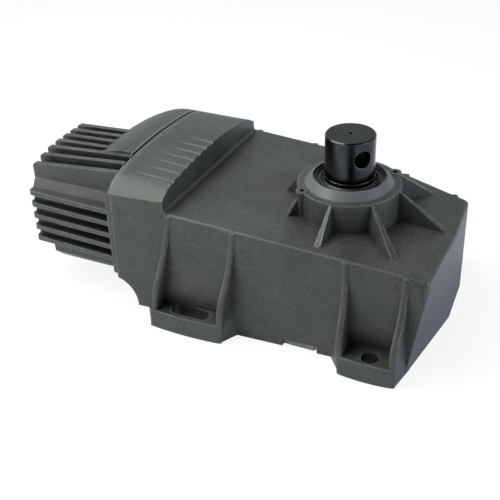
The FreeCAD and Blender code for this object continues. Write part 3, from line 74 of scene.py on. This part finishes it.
class Value:
    """A socket's number, which takes part in Python arithmetic."""

    def __init__(self, graph: "Graph", socket: bpy.types.NodeSocket) -> None:
        """Wrap a socket.

        Args:
            graph: The material's node graph that the socket belongs to.
            socket: An output socket.
        """
        self.graph = graph
        self.socket = socket

    def _math(self, operation: str, first: Number, second: Number) -> "Value":
        """Add a Math node.

        Args:
            operation: Blender's name of the operation.
            first: The first operand.
            second: The second operand.

        Returns:
            The node's result.
        """
        return self.graph.node("ShaderNodeMath", {"operation": operation}, {0: first, 1: second})

    def __add__(self, other: Number) -> "Value":
        """Sum."""
        return self._math("ADD", self, other)

    __radd__ = __add__

    def __sub__(self, other: Number) -> "Value":
        """Difference."""
        return self._math("SUBTRACT", self, other)

    def __rsub__(self, other: Number) -> "Value":
        """Difference from a plain number."""
        return self._math("SUBTRACT", other, self)

    def __mul__(self, other: Number) -> "Value":
        """Product."""
        return self._math("MULTIPLY", self, other)

    __rmul__ = __mul__

    def __truediv__(self, other: Number) -> "Value":
        """Quotient."""
        return self._math("DIVIDE", self, other)

    def __rtruediv__(self, other: Number) -> "Value":
        """Quotient of a plain number."""
        return self._math("DIVIDE", other, self)

    def sine(self) -> "Value":
        """Sine of an angle in radians."""
        return self._math("SINE", self, 0.0)

    def root(self) -> "Value":
        """Square root."""
        return self._math("SQRT", self, 0.0)

    def __abs__(self) -> "Value":
        """Size without the sign."""
        return self._math("ABSOLUTE", self, 0.0)

    def above(self, low: float, high: float) -> "Value":
        """A smooth step.

        Args:
            low: Where the step starts.
            high: Where the step is complete.

        Returns:
            A number from 0 to 1.
        """
        settings = {"interpolation_type": "SMOOTHSTEP"}
        sockets = {"Value": self, "From Min": low, "From Max": high, "To Min": 0.0, "To Max": 1.0}
        return self.graph.node("ShaderNodeMapRange", settings, sockets)


class Graph:
    """A node tree that grows by plain expressions."""

    def __init__(self, tree: bpy.types.NodeTree) -> None:
        """Take over a tree.

        Args:
            tree: The node tree of a material or a world.
        """
        self.tree = tree

    def node(
        self, kind: str, settings: dict[str, Any], sockets: dict[Any, Any], result: Any = 0
    ) -> Value:
        """Add a node.

        Args:
            kind: The node's type.
            settings: Attributes of the node, which are set first.
            sockets: Values or links by input name or number.
            result: Name or number of the output that is wanted.

        Returns:
            That output.
        """
        made = self.tree.nodes.new(kind)
        for name, setting in settings.items():
            setattr(made, name, setting)
        for key, given in sockets.items():
            self.feed(made.inputs[key], given)
        return Value(self, made.outputs[result])

    def feed(self, socket: bpy.types.NodeSocket, given: Any) -> None:
        """Link or set an input.

        Args:
            socket: The input.
            given: A Value to link, or a plain value to set.
        """
        if isinstance(given, Value):
            self.tree.links.new(given.socket, socket)
        else:
            socket.default_value = given

    def outputs(self, kind: str, names: Iterable[str]) -> list[Value]:
        """Add a node that only gives values.

        Args:
            kind: The node's type.
            names: Names of the outputs that are wanted.

        Returns:
            Those outputs, in the same order.
        """
        names = list(names)
        first = self.node(kind, {}, {}, names[0])
        return [Value(self, first.socket.node.outputs[name]) for name in names]

    def rays(self) -> tuple[Value, Value]:
        """Tell what kind of ray looks.

        Returns:
            1 for a ray that shows the background as it is, and 1 for a reflection.
        """
        names = ("Is Camera Ray", "Is Transmission Ray", "Is Glossy Ray")
        camera, through, glossy = self.outputs("ShaderNodeLightPath", names)
        return camera + through, glossy

    def blend(self, share: Number, first: Any, second: Any) -> Value:
        """Mix two colours.

        Args:
            share: 0 gives the first, 1 the second.
            first: A colour or a link.
            second: A colour or a link.

        Returns:
            The mixed colour.
        """
        sockets = {0: share, 6: opaque(first), 7: opaque(second)}
        return self.node("ShaderNodeMix", {"data_type": "RGBA"}, sockets, 2)


class Surface(Graph):
    """The node graph of one material, with its Principled shader."""

    samples = 6
    edge_span: Span = (0.04, 0.42)

    def __init__(self, name: str) -> None:
        """Start a material.

        Args:
            name: The material's name.
        """
        self.material = bpy.data.materials.new(name)
        self.material.use_nodes = True
        super().__init__(self.material.node_tree)
        self.shader = self.tree.nodes["Principled BSDF"]

    def surface(self, **sockets: Any) -> bpy.types.Material:
        """Set the Principled shader's inputs.

        Args:
            sockets: Inputs by name, with an underscore for a space.

        Returns:
            The finished material.
        """
        for name, given in sockets.items():
            self.feed(self.shader.inputs[name.replace("_", " ")], given)
        return self.material

    def place(self) -> Value:
        """The point on the piece, in its own coordinates."""
        return self.node("ShaderNodeTexCoord", {}, {}, "Object")

    def parts(self) -> tuple[Value, Value, Value]:
        """The point's three coordinates, each as a number."""
        split = self.node("ShaderNodeSeparateXYZ", {}, {0: self.place()})
        return tuple(Value(self, socket) for socket in split.socket.node.outputs)

    def from_axis(self, axis: Axis, centre: Sequence[float]) -> tuple[Value, Value]:
        """The point's distance from a line, and its place along it.

        Args:
            axis: The line's direction.
            centre: A point on the line.

        Returns:
            Distance and place, in metres.
        """
        places = self.parts()
        across = [index for index in range(3) if index != axis.value]
        first, second = (places[index] - centre[index] for index in across)
        return (first * first + second * second).root(), places[axis.value] - centre[axis.value]

    def noise(self, size: float, detail: float = 3.0, rough: float = 0.55) -> Value:
        """Cloudy noise.

        Args:
            size: About how far apart its spots are, in metres.
            detail: How many finer layers are added.
            rough: How strong those layers are.

        Returns:
            A number about 0.5.
        """
        sockets = {"Vector": self.place(), "Scale": 1.0 / size, "Detail": detail, "Roughness": rough}
        return self.node("ShaderNodeTexNoise", {}, sockets, "Fac")

    def rounded(self, radius: float) -> Value:
        """The surface's normal, turned over as if every edge had a small radius.

        Args:
            radius: The edge radius in metres.

        Returns:
            A normal.
        """
        return self.node("ShaderNodeBevel", {"samples": self.samples}, {"Radius": radius})

    def edge(self, reach: float) -> Value:
        """How close the point is to an outer edge, round or sharp.

        Args:
            reach: How far from the edge it fades out, in metres.

        Returns:
            0 on open faces, 1 on edges.
        """
        settings = {"inside": True, "only_local": True, "samples": self.samples}
        inside = self.node("ShaderNodeAmbientOcclusion", settings, {"Distance": reach}, "AO")
        return (1.0 - inside).above(*self.edge_span)

    def crevice(self, reach: float, low: float, high: float) -> Value:
        """How deep the point lies in a corner or a hollow.

        Args:
            reach: How far away walls still count, in metres.
            low: The closed share where it starts.
            high: The closed share where it is complete.

        Returns:
            0 on open faces, 1 in narrow hollows.
        """
        settings = {"only_local": True, "samples": self.samples}
        open_share = self.node("ShaderNodeAmbientOcclusion", settings, {"Distance": reach}, "AO")
        return (1.0 - open_share).above(low, high)

    def bump(self, height: Value, depth: float, normal: Any = None) -> Value:
        """A bumped normal.

        Args:
            height: The relief, about 0 to 1.
            depth: The relief's depth in metres.
            normal: A normal to start from.

        Returns:
            A normal.
        """
        sockets = {"Height": height, "Distance": depth, "Strength": 1.0}
        if normal is not None:
            sockets["Normal"] = normal
        return self.node("ShaderNodeBump", {}, sockets)


def opaque(given: Any) -> Any:
    """A plain colour with full alpha, and a link as it is."""
    return given if isinstance(given, Value) else (*given, 1.0)


def grey(value: int, tint: Colour = WHITE) -> Colour:
    """A colour from a display value.

    Args:
        value: Brightness from 0 to 255, as a screen shows it.
        tint: A factor for each channel.

    Returns:
        The colour in linear light.
    """
    share = value / 255
    linear = share / 12.92 if share <= 0.04045 else ((share + 0.055) / 1.055) ** 2.4
    return tuple(linear * channel for channel in tint)


class Finish(Protocol):
    """What every finish offers."""

    @property
    def name(self) -> str:
        """The material's name."""

    def material(self) -> bpy.types.Material:
        """Build the material."""


@dataclass(frozen=True)
class CastPaint:
    """Satin paint on a die casting: mottled, with painted shade in corners and hollows, worn edges with a
    painted highlight, painted light in the seam, and a collar of bare turned metal with a painted
    highlight.
    """

    name: str
    colour: Colour
    dust: Colour
    # Colour of the painted shade in corners and hollows.
    painted_shade: Colour
    # Colour of worn edges, which also serves as a painted highlight along them.
    worn_and_highlight: Colour
    # Lighter colour for the collar (bare metal and painted highlight) and for the painted light in the
    # seam.
    bare_and_highlight: Colour
    collar_radius: float = 31.2 * MM
    collar_height: float = 97.2 * MM
    bare_gloss: float = 0.08
    collar_fade: Span = (0.5 * MM, 0.4 * MM)
    # Place and size of the painted light in the seam's groove.
    seam_place: float = -151.8 * MM
    seam_half: float = 2.0 * MM
    seam_height: float = 96.0 * MM
    seam_fade: Span = (0.8 * MM, 2.0 * MM)
    edge_reach: float = 1.2 * MM
    edge_radius: float = 0.4 * MM
    patch_size: float = 7.0 * MM
    patch_least: float = 0.35
    wear_and_highlight: float = 0.48
    worn_metal: float = 0.3
    # Reach and strength of the painted shade in tight corners and in wide hollows.
    corner_reach: float = 7.0 * MM
    corner_span: Span = (0.1, 0.8)
    corner_shade: float = 0.45
    hollow_reach: float = 26.0 * MM
    hollow_span: Span = (0.3, 0.95)
    cloud_size: float = 24.0 * MM
    cloud_share: float = 0.4
    cloud_gloss: float = 0.12
    mottle_size: float = 1.7 * MM
    mottle_depth: float = 0.05 * MM
    mottle_gloss: float = 0.10
    spot_span: Span = (0.36, 0.64)
    gloss: float = 0.42

    def material(self) -> bpy.types.Material:
        """Build the material.

        Returns:
            The finished material.
        """
        graph = Surface(self.name)
        clouds = graph.noise(self.cloud_size, 4.0)
        mottle = graph.noise(self.mottle_size, 2.0)
        patches = graph.noise(self.patch_size, 3.0).above(*self.spot_span)
        # Lighter edges: partly real worn paint, partly a painted highlight on the rounded edges.
        worn_and_highlight = graph.edge(self.edge_reach) * (self.patch_least + (1.0 - self.patch_least) * patches)
        wear_and_highlight = worn_and_highlight * self.wear_and_highlight
        collar = self._collar(graph)
        spots = clouds * self.cloud_share + mottle * (1.0 - self.cloud_share)
        # Painted shade: corners where the casting closes round a point are darkened.
        corner_shade_mask = graph.crevice(self.corner_reach, *self.corner_span) * self.corner_shade
        base = graph.blend(spots.above(*self.spot_span), self.colour, self.dust)
        # Collar painted lighter: partly bare turned metal, partly a painted highlight.
        base = graph.blend(collar, base, self.bare_and_highlight)
        # Painted shade in corners and in wide hollows, blended towards the dark shade colour.
        base = graph.blend(corner_shade_mask, base, self.painted_shade)
        base = graph.blend(graph.crevice(self.hollow_reach, *self.hollow_span), base, self.painted_shade)
        # Painted light: the seam's groove is painted lighter to lift the shade in it.
        base = graph.blend(self._seam_painted_light(graph), base, self.bare_and_highlight)
        uneven = self.cloud_gloss * (clouds - 0.5) + self.mottle_gloss * (mottle - 0.5)
        return graph.surface(
            # Worn edges with a painted highlight.
            Base_Color=graph.blend(wear_and_highlight, base, self.worn_and_highlight),
            Roughness=self.gloss + uneven - self.bare_gloss * collar,
            Metallic=wear_and_highlight * self.worn_metal,
            Normal=graph.bump(mottle, self.mottle_depth, graph.rounded(self.edge_radius)),
        )

    def _collar(self, graph: Surface) -> Value:
        """Where the collar round the output shaft is painted lighter, partly as bare turned metal and
        partly as a painted highlight.

        Args:
            graph: The material's graph.

        Returns:
            1 on the collar, 0 elsewhere.
        """
        radius, height = graph.from_axis(Axis.Z, (0.0, 0.0, 0.0))
        across, up = self.collar_fade
        inside = 1.0 - radius.above(self.collar_radius, self.collar_radius + across)
        return inside * height.above(self.collar_height, self.collar_height + up)

    def _seam_painted_light(self, graph: Surface) -> Value:
        """Where a lighter colour is painted into the seam across the hood, to lift the shade that falls in
        its groove.

        Args:
            graph: The material's graph.

        Returns:
            1 in the seam, 0 elsewhere.
        """
        along, _, height = graph.parts()
        across, up = self.seam_fade
        off = abs(along - self.seam_place)
        inside = 1.0 - off.above(self.seam_half, self.seam_half + across)
        return inside * height.above(self.seam_height, self.seam_height + up)


@dataclass(frozen=True)
class CastMetal:
    """Bare die-cast metal: flow clouds, small pits and a matt skin."""

    name: str
    colour: Colour
    shade: Colour
    flow_size: float = 14.0 * MM
    flow_span: Span = (0.3, 0.75)
    flow_gloss: float = 0.2
    pit_size: float = 0.8 * MM
    pit_depth: float = 0.03 * MM
    edge_radius: float = 0.5 * MM
    gloss: float = 0.42
    metal: float = 0.85

    def material(self) -> bpy.types.Material:
        """Build the material.

        Returns:
            The finished material.
        """
        graph = Surface(self.name)
        flow = graph.noise(self.flow_size, 5.0, 0.6)
        pits = graph.noise(self.pit_size, 2.0)
        return graph.surface(
            Base_Color=graph.blend(flow.above(*self.flow_span), self.colour, self.shade),
            Roughness=self.gloss + self.flow_gloss * (flow - 0.5),
            Metallic=self.metal,
            Normal=graph.bump(pits, self.pit_depth, graph.rounded(self.edge_radius)),
        )


@dataclass(frozen=True)
class TurnedMetal:
    """Machined metal with fine tool rings about an axis, a film of oil, and a painted highlight along its
    edges.
    """

    name: str
    colour: Colour
    shade: Colour
    axis: Axis
    centre: tuple[float, float, float] = (0.0, 0.0, 0.0)
    pitch: float = 0.35 * MM
    ring_depth: float = 0.006 * MM
    ring_gloss: float = 0.08
    wobble_size: float = 2.0 * MM
    wobble: float = 1.5
    cloud_size: float = 9.0 * MM
    cloud_span: Span = (0.3, 0.75)
    cloud_gloss: float = 0.16
    gloss: float = 0.28
    metal: float = 1.0
    edge_radius: float = 0.5 * MM
    # Colour and share of the painted highlight along edges.
    edge_glint_colour: Colour = (0.5, 0.5, 0.5)
    edge_glint_share: float = 0.3

    def material(self) -> bpy.types.Material:
        """Build the material.

        Returns:
            The finished material.
        """
        graph = Surface(self.name)
        radius, along = graph.from_axis(self.axis, self.centre)
        wobble = graph.noise(self.wobble_size, 2.0) * self.wobble
        turn = 2 * math.pi / self.pitch
        rings = ((radius + along) * turn + wobble).sine() * 0.5 + 0.5
        clouds = graph.noise(self.cloud_size, 4.0)
        normal = graph.rounded(self.edge_radius)
        base = graph.blend(clouds.above(*self.cloud_span), self.colour, self.shade)
        # Painted highlight: edges are blended towards the glint colour.
        base = graph.blend(graph.edge(self.edge_radius * 2) * self.edge_glint_share, base, self.edge_glint_colour)
        return graph.surface(
            Base_Color=base,
            Roughness=self.gloss + self.ring_gloss * (rings - 0.5) + self.cloud_gloss * (clouds - 0.5),
            Metallic=self.metal,
            Normal=graph.bump(rings, self.ring_depth, normal),
        )


@dataclass(frozen=True)
class Rubber:
    """Moulded rubber or fibre with a dull bloom."""

    name: str
    colour: Colour
    bloom: Colour
    gloss: float = 0.5
    bloom_size: float = 4.0 * MM
    bloom_span: Span = (0.35, 0.8)
    bloom_gloss: float = 0.2
    grain_size: float = 0.4 * MM
    grain_depth: float = 0.02 * MM
    edge_radius: float = 0.3 * MM

    def material(self) -> bpy.types.Material:
        """Build the material.

        Returns:
            The finished material.
        """
        graph = Surface(self.name)
        bloom = graph.noise(self.bloom_size, 4.0)
        grain = graph.noise(self.grain_size, 2.0)
        return graph.surface(
            Base_Color=graph.blend(bloom.above(*self.bloom_span), self.colour, self.bloom),
            Roughness=self.gloss + self.bloom_gloss * (bloom - 0.5),
            Normal=graph.bump(grain, self.grain_depth, graph.rounded(self.edge_radius)),
        )


@dataclass(frozen=True)
class Layered:
    """Stacked sheet steel, or wound wire: fine bands across an axis."""

    name: str
    colour: Colour
    gap: Colour
    axis: Axis
    pitch: float
    depth: float
    gloss: float = 0.4
    metal: float = 0.9
    wobble_size: float = 3.0 * MM
    wobble: float = 1.2
    stain_size: float = 7.0 * MM
    stain_span: Span = (0.5, 0.85)
    stain_share: float = 0.5
    stain_gloss: float = 0.25

    def material(self) -> bpy.types.Material:
        """Build the material.

        Returns:
            The finished material.
        """
        graph = Surface(self.name)
        along = graph.parts()[self.axis.value]
        wobble = graph.noise(self.wobble_size, 2.0) * self.wobble
        bands = (along * (2 * math.pi / self.pitch) + wobble).sine() * 0.5 + 0.5
        stain = graph.noise(self.stain_size, 4.0)
        stained = stain.above(*self.stain_span) * self.stain_share
        base = graph.blend(bands, self.gap, self.colour)
        return graph.surface(
            Base_Color=graph.blend(stained, base, self.gap),
            Roughness=self.gloss + self.stain_gloss * (stain - 0.5),
            Metallic=self.metal,
            Normal=graph.bump(bands, self.depth),
        )


CASTING = CastPaint(
    "cast_paint",
    colour=grey(55, (1.0, 1.0, 0.91)),
    dust=grey(77, (1.0, 1.0, 0.91)),
    painted_shade=grey(24, (1.05, 1.0, 0.85)),
    worn_and_highlight=grey(150, (0.97, 1.0, 1.02)),
    bare_and_highlight=grey(100, (0.96, 1.0, 1.02)),
)
COVER = CastMetal("cover_metal", grey(150), grey(110))
SHAFT = TurnedMetal(
    "blackened_shaft",
    colour=grey(66, (0.96, 1.0, 1.04)),
    shade=grey(56),
    axis=Axis.Z,
    gloss=0.15,
    edge_glint_colour=grey(130),
    edge_glint_share=0.2,
)
SEAL = Rubber("seal_rubber", grey(34), grey(52), 0.36)
GASKET = Rubber("gasket_fibre", grey(64), grey(76), 0.7)
GLAND = Rubber("gland_plastic", grey(58), grey(70), 0.42)
BRONZE = TurnedMetal("bronze", (0.50, 0.33, 0.12), (0.40, 0.24, 0.08), Axis.Z, gloss=0.32)
GEAR = TurnedMetal("gear_steel", grey(178), grey(150), Axis.Z, gloss=0.26)
ROTOR = TurnedMetal("rotor_steel", grey(182), grey(154), Axis.X, gloss=0.24)
BEARING = TurnedMetal("bearing_steel", grey(205), grey(186), Axis.Z, gloss=0.12, ring_depth=0.002 * MM)
ZINC = Layered("zinc_thread", grey(190), grey(120), Axis.Z, 0.8 * MM, 0.12 * MM, 0.34)
TIE = Layered("zinc_tie_thread", grey(190), grey(120), Axis.X, 0.8 * MM, 0.12 * MM, 0.34)
SHEETS = Layered("sheet_stack", grey(130), grey(60), Axis.X, 0.5 * MM, 0.04 * MM, 0.45)
COPPER = Layered(
    "varnished_copper",
    colour=(0.42, 0.13, 0.05),
    gap=(0.16, 0.04, 0.02),
    axis=Axis.X,
    pitch=0.9 * MM,
    depth=0.2 * MM,
    gloss=0.3,
)


def crease(mesh: bmesh.types.BMesh, sharp_deg: float) -> None:
    """Shade a mesh as round, apart from its crisp edges.

    Args:
        mesh: The mesh.
        sharp_deg: Edges that turn by more than this stay crisp.
    """
    limit = math.radians(sharp_deg)
    for face in mesh.faces:
        face.smooth = True
    for edge in mesh.edges:
        edge.smooth = len(edge.link_faces) == 2 and edge.calc_face_angle(0.0) < limit


@dataclass
class SubAssembly:
    """Pieces of one body that are dressed together."""

    body: str = "housing"
    weld: float = 0.002 * MM

    def dress(self, finish: Finish, nodes: Iterable[str]) -> None:
        """Give CAD nodes a finish.

        Args:
            finish: The finish.
            nodes: Names of the nodes.
        """
        material = finish.material()
        for node in nodes:
            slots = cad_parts[node].data.materials
            slots.clear()
            slots.append(material)
            log.info("dressed %s with %s", node, finish.name)

    def show(self, mesh: bmesh.types.BMesh, name: str, finish: Finish, *nodes: str) -> bpy.types.Object:
        """Turn a mesh into a piece that stands for CAD nodes.

        Args:
            mesh: The mesh, which is freed.
            name: The piece's name.
            finish: Its finish.
            nodes: The CAD nodes that it stands for.

        Returns:
            The piece.
        """
        data = bpy.data.meshes.new(name)
        mesh.to_mesh(data)
        mesh.free()
        data.materials.append(finish.material())
        piece = bpy.data.objects.new(name, data)
        bpy.context.scene.collection.objects.link(piece)
        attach(piece, self.body)
        if nodes:
            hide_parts(*nodes)
        log.info("built %s, %d faces", name, len(data.polygons))
        return piece

    def smooth_copy(self, node: str, finish: Finish, sharp_deg: float = 26.0) -> bpy.types.Object:
        """A welded copy of a node whose round faces are shaded as round.

        Args:
            node: The CAD node.
            finish: The copy's finish.
            sharp_deg: Edges that turn by more than this stay crisp.

        Returns:
            The piece.
        """
        mesh = bmesh.new()
        mesh.from_mesh(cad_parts[node].data)
        bmesh.ops.remove_doubles(mesh, verts=mesh.verts, dist=self.weld)
        bmesh.ops.dissolve_degenerate(mesh, edges=mesh.edges, dist=self.weld)
        crease(mesh, sharp_deg)
        piece = self.show(mesh, f"{node}_dressed", finish, node)
        weights = piece.modifiers.new("even_normals", "WEIGHTED_NORMAL")
        weights.mode = "FACE_AREA"
        weights.keep_sharp = True
        return piece


@dataclass
class Gearbox(SubAssembly):
    """The painted gearbox casting with its cover, gasket and screws."""

    def build(self) -> None:
        """Dress the casting and what closes it."""
        self.smooth_copy("gearbox_housing", CASTING)
        self.smooth_copy("bottom_cover", COVER)
        self.dress(GASKET, ["bottom_cover_gasket"])
        self.dress(ZINC, ["bottom_cover_screws"])


@dataclass
class Motor(SubAssembly):
    """The finned motor casting and the parts inside it that stand still."""

    def build(self) -> None:
        """Dress the casting and its insides."""
        self.smooth_copy("motor_housing", CASTING)
        self.dress(GASKET, ["motor_flange_gasket"])
        self.dress(TIE, ["motor_tie_screws", "bearing_plate_screws"])
        self.dress(COVER, ["motor_bearing_plate"])
        self.dress(SEAL, ["motor_shaft_seal"])
        self.dress(SHEETS, ["stator_core"])
        self.dress(COPPER, ["stator_windings"])
        self.dress(ROTOR, ["front_bearing_outer_ring", "rear_bearing_outer_ring"])


@dataclass
class Rotor(SubAssembly):
    """The rotor with its worm."""

    body: str = "rotor"

    def build(self) -> None:
        """Dress the rotor."""
        self.dress(ROTOR, ["rotor_shaft", "worm", "front_bearing_inner_ring", "rear_bearing_inner_ring"])
        self.dress(SHEETS, ["rotor_core"])
        self.dress(COVER, ["rotor_end_rings"])


@dataclass
class GearTrain(SubAssembly):
    """Worm wheel, gear shafts and the bushes that carry them."""

    def build(self) -> None:
        """Dress wheels, shafts, keys and bushes."""
        bushes = ["wheel_lower_bush", "wheel_upper_bush", "intermediate_lower_bush"]
        bushes += ["intermediate_upper_bush", "output_lower_bush"]
        self.dress(BRONZE, ["worm_wheel", *bushes])
        self.dress(GEAR, ["wheel_pinion_shaft", "wheel_key", "intermediate_gear"])
        self.dress(GEAR, ["intermediate_pinion_shaft", "intermediate_key"])
        self.dress(GEAR, ["output_gear", "output_key", "output_spacer"])


@dataclass
class Output(SubAssembly):
    """The blackened output shaft with its bearing."""

    body: str = "output"

    def build(self) -> None:
        """Dress the shaft and the bearing under it."""
        self.smooth_copy("output_shaft", SHAFT)
        rings = ["upper_bearing_outer_ring", "upper_bearing_inner_ring", "upper_bearing_balls"]
        self.dress(BEARING, rings)
        self.dress(SHAFT, ["upper_bearing_circlip"])


@dataclass
class ShaftSeal(SubAssembly):
    """The lip seal round the output shaft, turned from its profile."""

    shaft_radius: float = 17.5 * MM
    lip_gap: float = 0.04 * MM
    chamfer: float = 0.4 * MM
    turns: int = 96
    sharp_deg: float = 40.0
    lips: tuple[Span, ...] = (
        (0.22, 0.0),
        (0.26, 1.6 * MM),
        (0.52, 1.9 * MM),
        (0.56, 0.7 * MM),
        (0.68, 0.5 * MM),
        (0.74, 2.2 * MM),
        (0.86, 1.4 * MM),
        (1.0, 0.3 * MM),
        (1.0, 1.0 * MM),
        (0.9, 4.0 * MM),
    )

    def profile(self) -> list[Span]:
        """The seal's section, from its outer foot over its lips to its inner foot.

        Returns:
            Radius and height of each corner. A lip is given by its share of the width, and its depth.
        """
        low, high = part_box("output_shaft_seal")
        outer, top, bottom = high.x, high.z, low.z
        width = outer - self.shaft_radius - self.lip_gap
        rim = [(outer, bottom), (outer, top - self.chamfer), (outer - self.chamfer, top)]
        lips = [(outer - share * width, top - depth) for share, depth in self.lips]
        return [*rim, *lips, (lips[-1][0], bottom)]

    def build(self) -> None:
        """Spin the seal's profile about the shaft."""
        mesh = bmesh.new()
        ring = [mesh.verts.new((radius, 0.0, height)) for radius, height in self.profile()]
        edges = [mesh.edges.new((ring[index - 1], ring[index])) for index in range(len(ring))]
        bmesh.ops.spin(
            mesh, geom=ring + edges, cent=(0, 0, 0), axis=(0, 0, 1), dvec=(0, 0, 0),
            angle=2 * math.pi, steps=self.turns, use_merge=True, use_duplicate=False,
        )
        bmesh.ops.recalc_face_normals(mesh, faces=mesh.faces)
        crease(mesh, self.sharp_deg)
        self.show(mesh, "output_shaft_seal_turned", SEAL, "output_shaft_seal")


@dataclass
class CableInlet(SubAssembly):
    """The gland on the back wall."""

    def build(self) -> None:
        """Dress the gland and its nut."""
        self.dress(GLAND, ["cable_gland", "gland_nut"])


@dataclass(frozen=True)
class Lamp:
    """A square soft lamp that faces the object."""

    name: str
    place: tuple[float, float, float]
    side: float
    watts: float
    colour: Colour = WHITE

    def build(self) -> None:
        """Hang the lamp."""
        data = bpy.data.lights.new(self.name, "AREA")
        data.shape = "SQUARE"
        data.size = self.side
        data.energy = self.watts
        data.color = self.colour
        lamp = bpy.data.objects.new(self.name, data)
        lamp.location = self.place
        lamp.rotation_mode = "QUATERNION"
        lamp.rotation_quaternion = (-Vector(self.place)).to_track_quat("-Z", "Y")
        bpy.context.scene.collection.objects.link(lamp)


@dataclass
class Stage:
    """Pale floor with a painted dark patch seen only in reflections, white surroundings and soft lamps."""

    floor_side: float = 6.0
    floor_colour: Colour = (0.82, 0.82, 0.82)
    floor_white: float = 1.1
    floor_glow: float = 0.8
    floor_rough: float = 0.9
    floor_shine: Colour = (0.20, 0.22, 0.32)
    # Place, radius and blur of the painted dark patch in the floor.
    dark_patch_place: tuple[float, float] = (0.11, -0.24)
    dark_patch_radius: float = 0.06
    dark_patch_blur: float = 0.05
    sky: Colour = (0.06, 0.06, 0.06)
    horizon: Colour = (0.80, 0.88, 0.84)
    zenith: Colour = (0.04, 0.04, 0.04)
    zenith_height: float = 0.9
    lamps: tuple[Lamp, ...] = (
        Lamp("upper_left", (-0.45, -0.2, 0.9), 0.7, 8.2, (0.93, 1.0, 0.93)),
        Lamp("left", (-1.2, -0.8, 0.5), 0.9, 9.0, (0.90, 0.93, 1.0)),
        Lamp("right", (1.4, 0.0, 0.5), 0.9, 12.0, (0.75, 0.88, 1.0)),
        Lamp("back_left", (-0.4, 0.3, 0.75), 0.6, 1.2, (0.85, 0.95, 1.0)),
    )

    def build(self) -> None:
        """Make the floor, the world and the lamps."""
        self._floor()
        self._world()
        for lamp in self.lamps:
            lamp.build()

    def _floor(self) -> None:
        """A floor that is near white to the camera and keeps a soft shadow."""
        mesh = bmesh.new()
        bmesh.ops.create_grid(mesh, x_segments=1, y_segments=1, size=self.floor_side / 2)
        data = bpy.data.meshes.new("floor")
        mesh.to_mesh(data)
        mesh.free()
        floor = bpy.data.objects.new("floor", data)
        bpy.context.scene.collection.objects.link(floor)
        graph = Surface("pale_floor")
        plain, glossy = graph.rays()
        # Painted dark reflection: a round patch of floor turns black for reflected rays only.
        dark_patch = glossy * self._dark_reflection_patch(graph)
        lit = graph.blend(plain * self.floor_glow + dark_patch, self.floor_colour, BLACK)
        mirrored = graph.blend(glossy - dark_patch, BLACK, self.floor_shine)
        glow = graph.blend(plain, mirrored, [self.floor_glow] * 3)
        graph.surface(
            Base_Color=lit,
            Roughness=self.floor_rough,
            Specular_IOR_Level=0.0,
            Emission_Color=glow,
            Emission_Strength=self.floor_white,
        )
        data.materials.append(graph.material)

    def _dark_reflection_patch(self, graph: Surface) -> Value:
        """Where the floor is painted black for reflected rays only, as a painted dark reflection in the
        shaft.

        Args:
            graph: The floor's graph.

        Returns:
            1 on the patch, 0 elsewhere.
        """
        along, across, _ = graph.parts()
        along = along - self.dark_patch_place[0]
        across = across - self.dark_patch_place[1]
        away = (along * along + across * across).root()
        return 1.0 - away.above(self.dark_patch_radius, self.dark_patch_radius + self.dark_patch_blur)

    def _world(self) -> None:
        """Soft light from all round, its mirror image, and white behind the object."""
        world = bpy.data.worlds.new("studio")
        world.use_nodes = True
        graph = Graph(world.node_tree)
        graph.tree.nodes.clear()
        towards = graph.node("ShaderNodeTexCoord", {}, {}, "Generated")
        split = graph.node("ShaderNodeSeparateXYZ", {}, {0: towards}, "Z")
        mirrored = graph.blend(split.above(0.0, self.zenith_height), self.horizon, self.zenith)
        plain, glossy = graph.rays()
        seen = graph.blend(glossy, self.sky, mirrored)
        colour = graph.blend(plain, seen, WHITE)
        light = graph.node("ShaderNodeBackground", {}, {"Color": colour, "Strength": 1.0})
        output = graph.tree.nodes.new("ShaderNodeOutputWorld")
        graph.feed(output.inputs["Surface"], light)
        bpy.context.scene.world = world


@dataclass
class PhotoCamera:
    """The camera where the photograph was taken, solved from points of known place."""

    azimuth_deg: float = 26.767
    elevation_deg: float = 32.062
    roll_deg: float = -2.233
    distance: float = 669.507 * MM
    focal_px: float = 898.317
    aim_px: tuple[float, float] = (96.033, 46.797)
    sensor: float = 36.0
    nearest: float = 10.0 * MM

    def build(self) -> None:
        """Make the camera and hand it to the scene."""
        turn, rise, roll = (
            math.radians(angle) for angle in (self.azimuth_deg, self.elevation_deg, self.roll_deg)
        )
        back = Vector(
            (math.sin(turn) * math.cos(rise), -math.cos(turn) * math.cos(rise), math.sin(rise))
        )
        level = Vector((math.cos(turn), math.sin(turn), 0.0))
        up = back.cross(level)
        right = math.cos(roll) * level + math.sin(roll) * up
        top = -math.sin(roll) * level + math.cos(roll) * up
        scale = self.distance / self.focal_px
        place = back * self.distance - right * self.aim_px[0] * scale + top * self.aim_px[1] * scale
        data = bpy.data.cameras.new("photo_camera")
        data.sensor_width = self.sensor
        data.lens = self.focal_px / PHOTO_SIDE * self.sensor
        data.clip_start = self.nearest
        camera = bpy.data.objects.new("photo_camera", data)
        axes = Matrix((right, top, back)).transposed().to_4x4()
        camera.matrix_world = Matrix.Translation(place) @ axes
        bpy.context.scene.collection.objects.link(camera)
        bpy.context.scene.camera = camera


def main() -> None:
    """Build every sub-assembly, then the stage and the camera."""
    logging.basicConfig(level=logging.INFO, format="%(message)s")
    bpy.context.scene.view_settings.view_transform = "Standard"
    for piece in (Gearbox(), Motor(), Rotor(), GearTrain(), Output(), ShaftSeal(), CableInlet()):
        piece.build()
        log.info("finished %s", type(piece).__name__)
    Stage().build()
    PhotoCamera().build()


if __name__ == "__main__":
    main()
